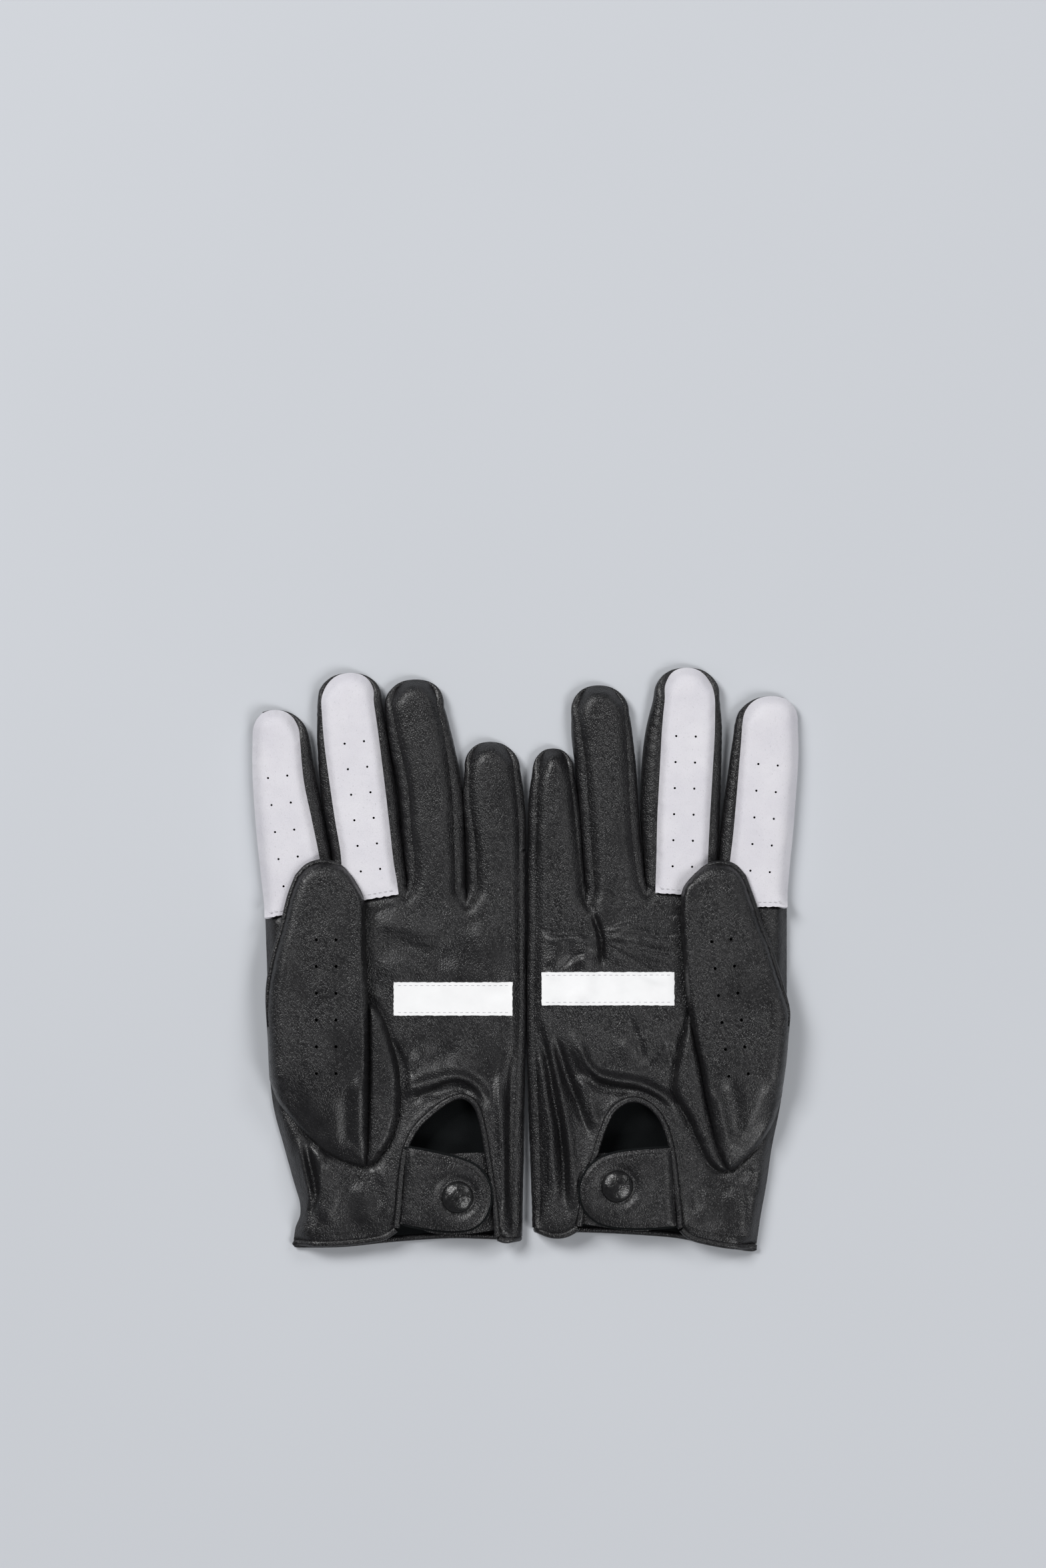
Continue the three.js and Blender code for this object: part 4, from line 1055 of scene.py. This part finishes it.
            runs = [run for run in np.split(seam, apart + 1) if len(run) > 8]
            for number, run in enumerate(runs):
                sew(f"ring_seam_stitches_{number}", run, lambda p: np.full(len(p), SEAM_Z - 0.25), part=f,
                    length=1.2, width=0.34, proud=0.0)

    # The back, with the fingers' backs. It faces down.
    def back_relief(points):
        gather = np.abs(np.sin(points[:, 0] * math.pi / 3.4 + 0.8 * noise(points, 9, seed + 90)))
        return 0.75 * gather * np.exp(-((points[:, 1] + 93) / 7) ** 2)

    back_hem = span(back_line, *shape["back_hem_ends"])
    back_edge = painted(back_line, 1.5, 4.0, (back_hem, 0.6, 2.0))
    back = Panel(back_line, 0.0, back_edge, back_relief)
    cuts = []
    for k, f in enumerate(FINGERS):
        before = span(back_line, dips[FINGERS[k - 1]]["back"] if k else (101.5, 5), tips[f])
        after = span(back_line, tips[f], back_corner if f == "little" else dips[f]["back"])
        cuts.append(np.array([at_height(before, BACK_CUTS[f]), at_height(after, BACK_CUTS[f])]))
    xy, z, tris = back.mesh(spacing=1.4 * SPACING, lines=[resample(cut, SPACING)[1:-1] for cut in cuts])
    co = np.column_stack([xy, z])
    tris = tris[:, ::-1]
    normals = vertex_normals(co, tris)
    middle = xy[tris].mean(1)
    rest = np.ones(len(tris), bool)
    axes = [nearest(middle, resample(np.array([seat[f] - [0, 20], tips[f]]), 1.0))[0] for f in FINGERS]
    nearest_finger = np.argmin(axes, axis=0)
    for k, (f, cut) in enumerate(zip(FINGERS, cuts)):
        which = beyond(middle, cut) & (nearest_finger == k)
        rest &= ~which
        piece = shell(node(f"{f}_back_leather"), sign, co, tris[which], FLESHED, normals=normals)
        keep(piece, "black_leather", f"{f}_back", part=f)
    piece = shell(node("back_of_hand"), sign, co, tris[rest], FLESHED, normals=normals)
    keep(piece, "black_leather", "back_panel")

    # The back's stitching: three pairs of rows that fan out from the wrist, and two rows over the elastic.
    for number, (wrist_u, knuckle_u) in enumerate(BACK_ROWS):
        for row, name in ((-0.9, "inner"), (0.9, "outer")):
            line = np.array([[wrist_u + row, -52.0], [knuckle_u + row, 8.0]])
            sew(f"back_stitches_{number}_{name}", line, lambda p: np.full(len(p), 0.12), proud=-0.1)
    for number, y in enumerate(WRIST_ROWS):
        line = np.array([[16.0, y], [79.0, y]])
        sew(f"wrist_stitches_{number}", line, lambda p: 0.12 + back_relief(p), proud=-0.1)

    # The vent's rolled edge, and the bound hems.
    rolled_edge = offset(resample(vent_line, 0.9), 0.35)
    towards_end = np.arange(len(rolled_edge)) / len(rolled_edge)
    bead_z = 9.75 + 0.9 * smoothstep(towards_end * 3 - 2)
    bead = tube(node("vent_edge"), sign, np.column_stack([rolled_edge, bead_z]), (1.25, 1.05), [NAPPA])
    keep(bead, "black_leather", "vent_binding")
    sew("vent_stitches", offset(vent_line, -1.7)[3:-3], palm.height)
    binding = []
    for line, z in ((hem[0], None), (hem_back, 1.1), (hem[1], None)):
        line = resample(line, 1.0)
        if z is None:
            line = line[::-1]
            z = palm.edge_z[nearest(line, palm.outline)[1]] - 0.2
        binding.append(np.column_stack([line + [0, -0.9], np.full(len(line), z)]))
    binding = softened(resample(np.concatenate(binding), 1.0), 4)
    bead = tube(node("cuff_edge"), sign, binding, (1.0, 1.25), [NAPPA], up=(0, 1, 0))
    keep(bead, "black_leather", "cuff_binding")
    for k, path in enumerate(hem):
        row = resample(path, 0.5) + [0, 2.9]
        row = row[inside(row, palm_line) & (nearest(row, outer_side)[0] > 4.0)]
        sew(f"hem_stitches_{k}", row, palm.height)

    # The white band across the palm.
    corners = rim(node("palm_band"), sign)[0]
    band_line = smooth_loop(corners)
    band_line = band_line + 0.12 * np.random.default_rng(seed).uniform(-1, 1, band_line.shape)
    flat = Panel(band_line, 0, (np.zeros(len(band_line)), np.ones(len(band_line))))
    xy, _, tris = flat.mesh(spacing=1.2 * SPACING)

    def band_height(points):
        return palm.height(points) + 0.55

    co = np.column_stack([xy, band_height(xy)])
    piece = shell(node("palm_band_coated"), sign, co, tris, [COAT] * 3, 0.5)
    keep(piece, "white_coat", "palm_band")
    low, high = corners.min(0) + 1.2, corners.max(0) - 1.2
    for k, y in enumerate((low[1], high[1])):
        row = np.array([[low[0], y], [high[0], y]])
        sew(f"band_stitches_{k}", row, band_height, True, pitch=2.2, length=1.4, width=0.3, proud=0.02)

    # The thumb. Its outline runs up the outer edge, over the tip, down the fold, and back along the oval.
    fold_line = curve(shape["crease"])
    outer_edge = curve(shape["thumb_outer"] + shape["oval"][:1])
    foot = np.argmin(np.linalg.norm(oval - np.array(shape["crease"][0]), axis=1))
    outer_oval, inner_oval = oval[:foot], oval[foot:]
    tip_line = curve(np.concatenate([[fold_line[-1]], shape["thumb_tip"], [outer_edge[0]]]))
    thumb_line = even_loop(np.concatenate(
        [outer_oval[::-1], outer_edge[::-1], tip_line[::-1][1:-1], fold_line[::-1]]), 2.0)
    sewn_z = palm.height(outer_oval) + SEWN_ON
    beside = palm.height(np.clip(outer_edge, None, [99.5, 99]))
    outer_z = 11.2 + (beside - 10.2) * smoothstep((-14 - outer_edge[:, 1]) / 28)
    fold_z = 10.6 - 0.9 * smoothstep((-20 - fold_line[:, 1]) / 50)
    thumb_edge = painted(thumb_line, 11.0, 5.0, (outer_oval, sewn_z, 9.0), (outer_edge, outer_z, 5.5),
                         (fold_line, fold_z, 2.4), (tip_line, 11.0, 5.5))

    def thumb_relief(points):
        h = leather_noise(points, seed + 20, 0.2) - 3.2 * smoothstep((-38 - points[:, 1]) / 44)
        for path, width, height in shape["thumb_folds"]:
            h = h + fold(points, path, width, height)
        return h

    thumb = Panel(thumb_line, THUMB_Z, thumb_edge, thumb_relief, perforations(side, "thumb"), soften=0)
    lay("thumb_top", thumb, "black_leather", "thumb_sleeve", "thumb_base", part="thumb")

    seam = resample(np.concatenate([outer_edge[::-1], tip_line[::-1]]), SPACING)
    to_end = lengths(seam)[-1] - lengths(seam)
    outward = offset(seam, (1.5 * smoothstep((seam[:, 1] + 34) / 30) * smoothstep(to_end / 14))[:, None])
    top_z = thumb.edge_z[nearest(seam, thumb_line)[1]]
    piece = side_band(node("thumb_side"), sign, offset(seam, -0.6), top_z - 0.2, outward,
                      np.minimum(top_z - 0.6, 10.3), 0.7, seed + 33, 7)
    keep(piece, "black_leather", part="thumb")

    bottom = even_loop(thumb_line[thumb_line[:, 1] > UNDERSIDE_END], 2.5, 50)
    sheet = Panel(bottom, 10.2, (np.full(len(bottom), 10.5), np.full(len(bottom), 3.0)))
    lay("thumb_underside", sheet, "black_leather", thickness=0.6, closer=1.5, down=True, part="thumb")

    # The facet between the thumb's fold and its seam in the palm.
    fold_below = fold_line[fold_line[:, 1] < inner_oval[-1, 1]] + [0.7, 0]
    facet_line = np.concatenate([inner_oval[::-1], fold_below[1:]])
    if signed_area(facet_line) < 0:
        facet_line = facet_line[::-1]
    facet_line = even_loop(facet_line, 2.0)
    facet_edge = painted(facet_line, 9.5, 3.0, (fold_below, 9.4, 4.5),
                         (inner_oval, palm.height(inner_oval) + SEWN_ON, 3.2))
    facet = Panel(facet_line, FACET_Z, facet_edge, lambda p: leather_noise(p, seed + 40, 0.25), soften=1)
    lay("thumb_facet", facet, "black_leather")

    # The strap and what it closes on. Its root is tucked under the palm's leather.
    strap_line = rim(node("strap"), sign)[0]
    root = strap_line[np.argsort(-strap_line[:, 0])[:2]]
    tucked = strap_line - [TUCK, 0] * (nearest(strap_line, root)[0] < 0.1)[:, None]
    lining_line = smooth_loop(tucked, 42, STRAP_CLOSER * SPACING)
    root = resample(root - [TUCK, 0], 0.5)
    snap_low, snap_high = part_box(node("snap_cap"))
    snap = (np.array(snap_low[:2]) + np.array(snap_high[:2])) / 2 / MM * [sign, 1]
    post_hole = circle(snap, 1.6)

    def strap_relief(points):
        d = np.linalg.norm(points - snap, axis=1)
        return (0.22 * noise(points, 9, seed + 60) + 0.08 * noise(points, 3, seed + 61)
                - 0.7 * np.exp(-((d - 7.0) / 1.3) ** 2) + 0.25 * np.exp(-((d - 10.5) / 2.5) ** 2))

    lining_edge = painted(lining_line, 11.5, 1.5, (root, 9.9, 2.5))
    lining = Panel(lining_line, LINING_Z, lining_edge, strap_relief, [post_hole])
    lay("strap_lining", lining, "black_suede", skins=[SUEDE] * 3, thickness=0.8, closer=STRAP_CLOSER,
        body=node("strap"))
    strap_line = smooth_loop(offset_loop(lining_line, -0.8), 60, STRAP_CLOSER * SPACING)
    strap_line[:, 0] += 0.8 * (nearest(strap_line, root)[0] < 1.1)
    strap_edge = painted(strap_line, 12.0, 2.0, (root, 10.9, 2.5))
    strap = Panel(strap_line, STRAP_Z, strap_edge, strap_relief, [post_hole])
    lay("strap_leather", strap, "black_leather", "strap", skins=CUT_EDGED, thickness=0.8, closer=STRAP_CLOSER,
        body=node("strap"))
    inset = offset_loop(strap_line, -1.5)
    inset = inset[nearest(inset, root)[0] > 3.0]
    break_at = np.argmax(np.linalg.norm(np.roll(inset, -1, 0) - inset, axis=1))
    sew("strap_stitches", np.roll(inset, -1 - break_at, 0), strap.height, body=node("strap"),
        pitch=2.2, length=1.45, width=0.4, proud=0.05)

    lap_line = smooth_loop(rim(node("strap_underlap"), sign)[0])
    lap = Panel(lap_line, 8.3, (np.full(len(lap_line), 7.9), np.full(len(lap_line), 2.0)),
                lambda p: 0.2 * noise(p, 8, seed + 70), [post_hole])
    lay("underlap_leather", lap, "black_leather", "strap_underlap", skins=CUT_EDGED)

    # The snap's cap is a wrinkled leather dome.
    t = np.linspace(0, 1, CAP_RINGS)[:, None]
    angle = np.linspace(0, 2 * math.pi, CAP_AROUND, endpoint=False)[None]
    radius = CAP_RADIUS * np.sin(t * math.pi / 2 * 1.12)
    x = snap[0] + radius * np.cos(angle)
    y = snap[1] + radius * np.sin(angle)
    flat = np.stack([x.ravel(), y.ravel()], 1)
    wrinkle = (0.13 * noise(flat, 3.4, seed + 80) + 0.07 * noise(flat, 1.3, seed + 81)).reshape(CAP_RINGS, -1)
    z = CAP_Z + CAP_RISE * np.cos(t * math.pi / 2) + wrinkle * (1 - t * 0.5)
    co = np.stack([x, y, z], 2)
    co[0] = co[0].mean(0)
    co = np.concatenate([co[:1, :1].reshape(1, 3), co[1:].reshape(-1, 3)])
    tris = [[0, 1 + k, 1 + (k + 1) % CAP_AROUND] for k in range(CAP_AROUND)]
    for row in range(CAP_RINGS - 2):
        for k in range(CAP_AROUND):
            a, b = 1 + row * CAP_AROUND + k, 1 + row * CAP_AROUND + (k + 1) % CAP_AROUND
            tris += [[a, a + CAP_AROUND, b + CAP_AROUND], [a, b + CAP_AROUND, b]]
    piece = shell(node("snap_cap_leather"), sign, co, np.array(tris), [POLISHED, POLISHED, SUEDE], 0.5)
    keep(piece, "black_leather", "snap_cap", body=node("strap"))
    for name in ("snap_socket", "snap_stud"):
        NODES[node(name)].data.materials.clear()
        NODES[node(name)].data.materials.append(METAL)

    # The gathered elastic inside the wrist.
    low, high = (np.array(v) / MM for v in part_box(node("wrist_elastic")))
    us = np.linspace(*sorted((abs(low[0]), abs(high[0]))), int(65 / SPACING) * 2)
    ys = np.linspace(low[1], high[1], 9)
    uu, yy = np.meshgrid(us, ys)
    zz = high[2] + 0.25 * np.sin(uu * 2 * math.pi / RIB_PITCH)
    co = np.stack([uu.ravel(), yy.ravel(), zz.ravel()], 1)
    piece = shell(node("elastic_ribbed"), sign, co, grid_tris(len(ys), len(us)), [ELASTIC] * 3, 0.5)
    keep(piece, "black_elastic", "wrist_elastic")


for glove_side in SIDES:
    build(glove_side)


# ---- Floor, lights and camera ----
def floor():
    mesh = bpy.data.meshes.new("floor")
    half = 3.0
    corners = [(-half, -half, 0), (half, -half, 0), (half, half, 0), (-half, half, 0)]
    mesh.from_pydata(corners, [], [(0, 1, 2, 3)])
    obj = bpy.data.objects.new("floor", mesh)
    bpy.context.scene.collection.objects.link(obj)
    n = Nodes("pale_paper")
    shade = n.ramp(n.noise(300.0, 2.0), (0.3, (0.585, 0.605, 0.640)), (0.7, (0.600, 0.620, 0.655)))
    mesh.materials.append(n.finish(Base_Color=shade, Roughness=0.95, Specular_IOR_Level=0.0))
    obj.location.z = -0.0006


def area_light(name, place, size, power):
    """A square lamp aimed at the gloves."""
    data = bpy.data.lights.new(name, "AREA")
    data.shape, data.size, data.energy = "SQUARE", size, power
    obj = bpy.data.objects.new(name, data)
    obj.location = place
    obj.rotation_euler = (Vector(LIGHT_TARGET) - Vector(place)).to_track_quat("-Z", "Y").to_euler()
    bpy.context.scene.collection.objects.link(obj)


LIGHT_TARGET = (0, 0.03, 0)
floor()
area_light("key", (-1.6, 1.5, 2.35), 1.25, 72)
area_light("fill", (1.6, -1.4, 2.45), 1.1, 40)
area_light("side", (1.9, 1.7, 2.1), 0.9, 17)
world = bpy.data.worlds.new("studio")
world.use_nodes = True
world.node_tree.nodes["Background"].inputs["Color"].default_value = (0.95, 0.97, 1.0, 1)
world.node_tree.nodes["Background"].inputs["Strength"].default_value = 0.15
bpy.context.scene.world = world
bpy.context.scene.view_settings.view_transform = "Standard"

# The camera looks straight down. The picture's middle and height are in metres on the floor.
PICTURE_MIDDLE = (-0.00104, 0.0688)
PICTURE_HEIGHT = 0.6113
CAMERA_HEIGHT = 1.8
FOCUS_HEIGHT = 0.009  # the height at which PICTURE_HEIGHT holds
lens = bpy.data.cameras.new("camera")
lens.sensor_fit = "VERTICAL"
lens.angle = 2 * math.atan(PICTURE_HEIGHT / 2 / (CAMERA_HEIGHT - FOCUS_HEIGHT))
camera = bpy.data.objects.new("camera", lens)
camera.location = (*PICTURE_MIDDLE, CAMERA_HEIGHT)
bpy.context.scene.collection.objects.link(camera)
bpy.context.scene.camera = camera

bpy.context.view_layer.update()
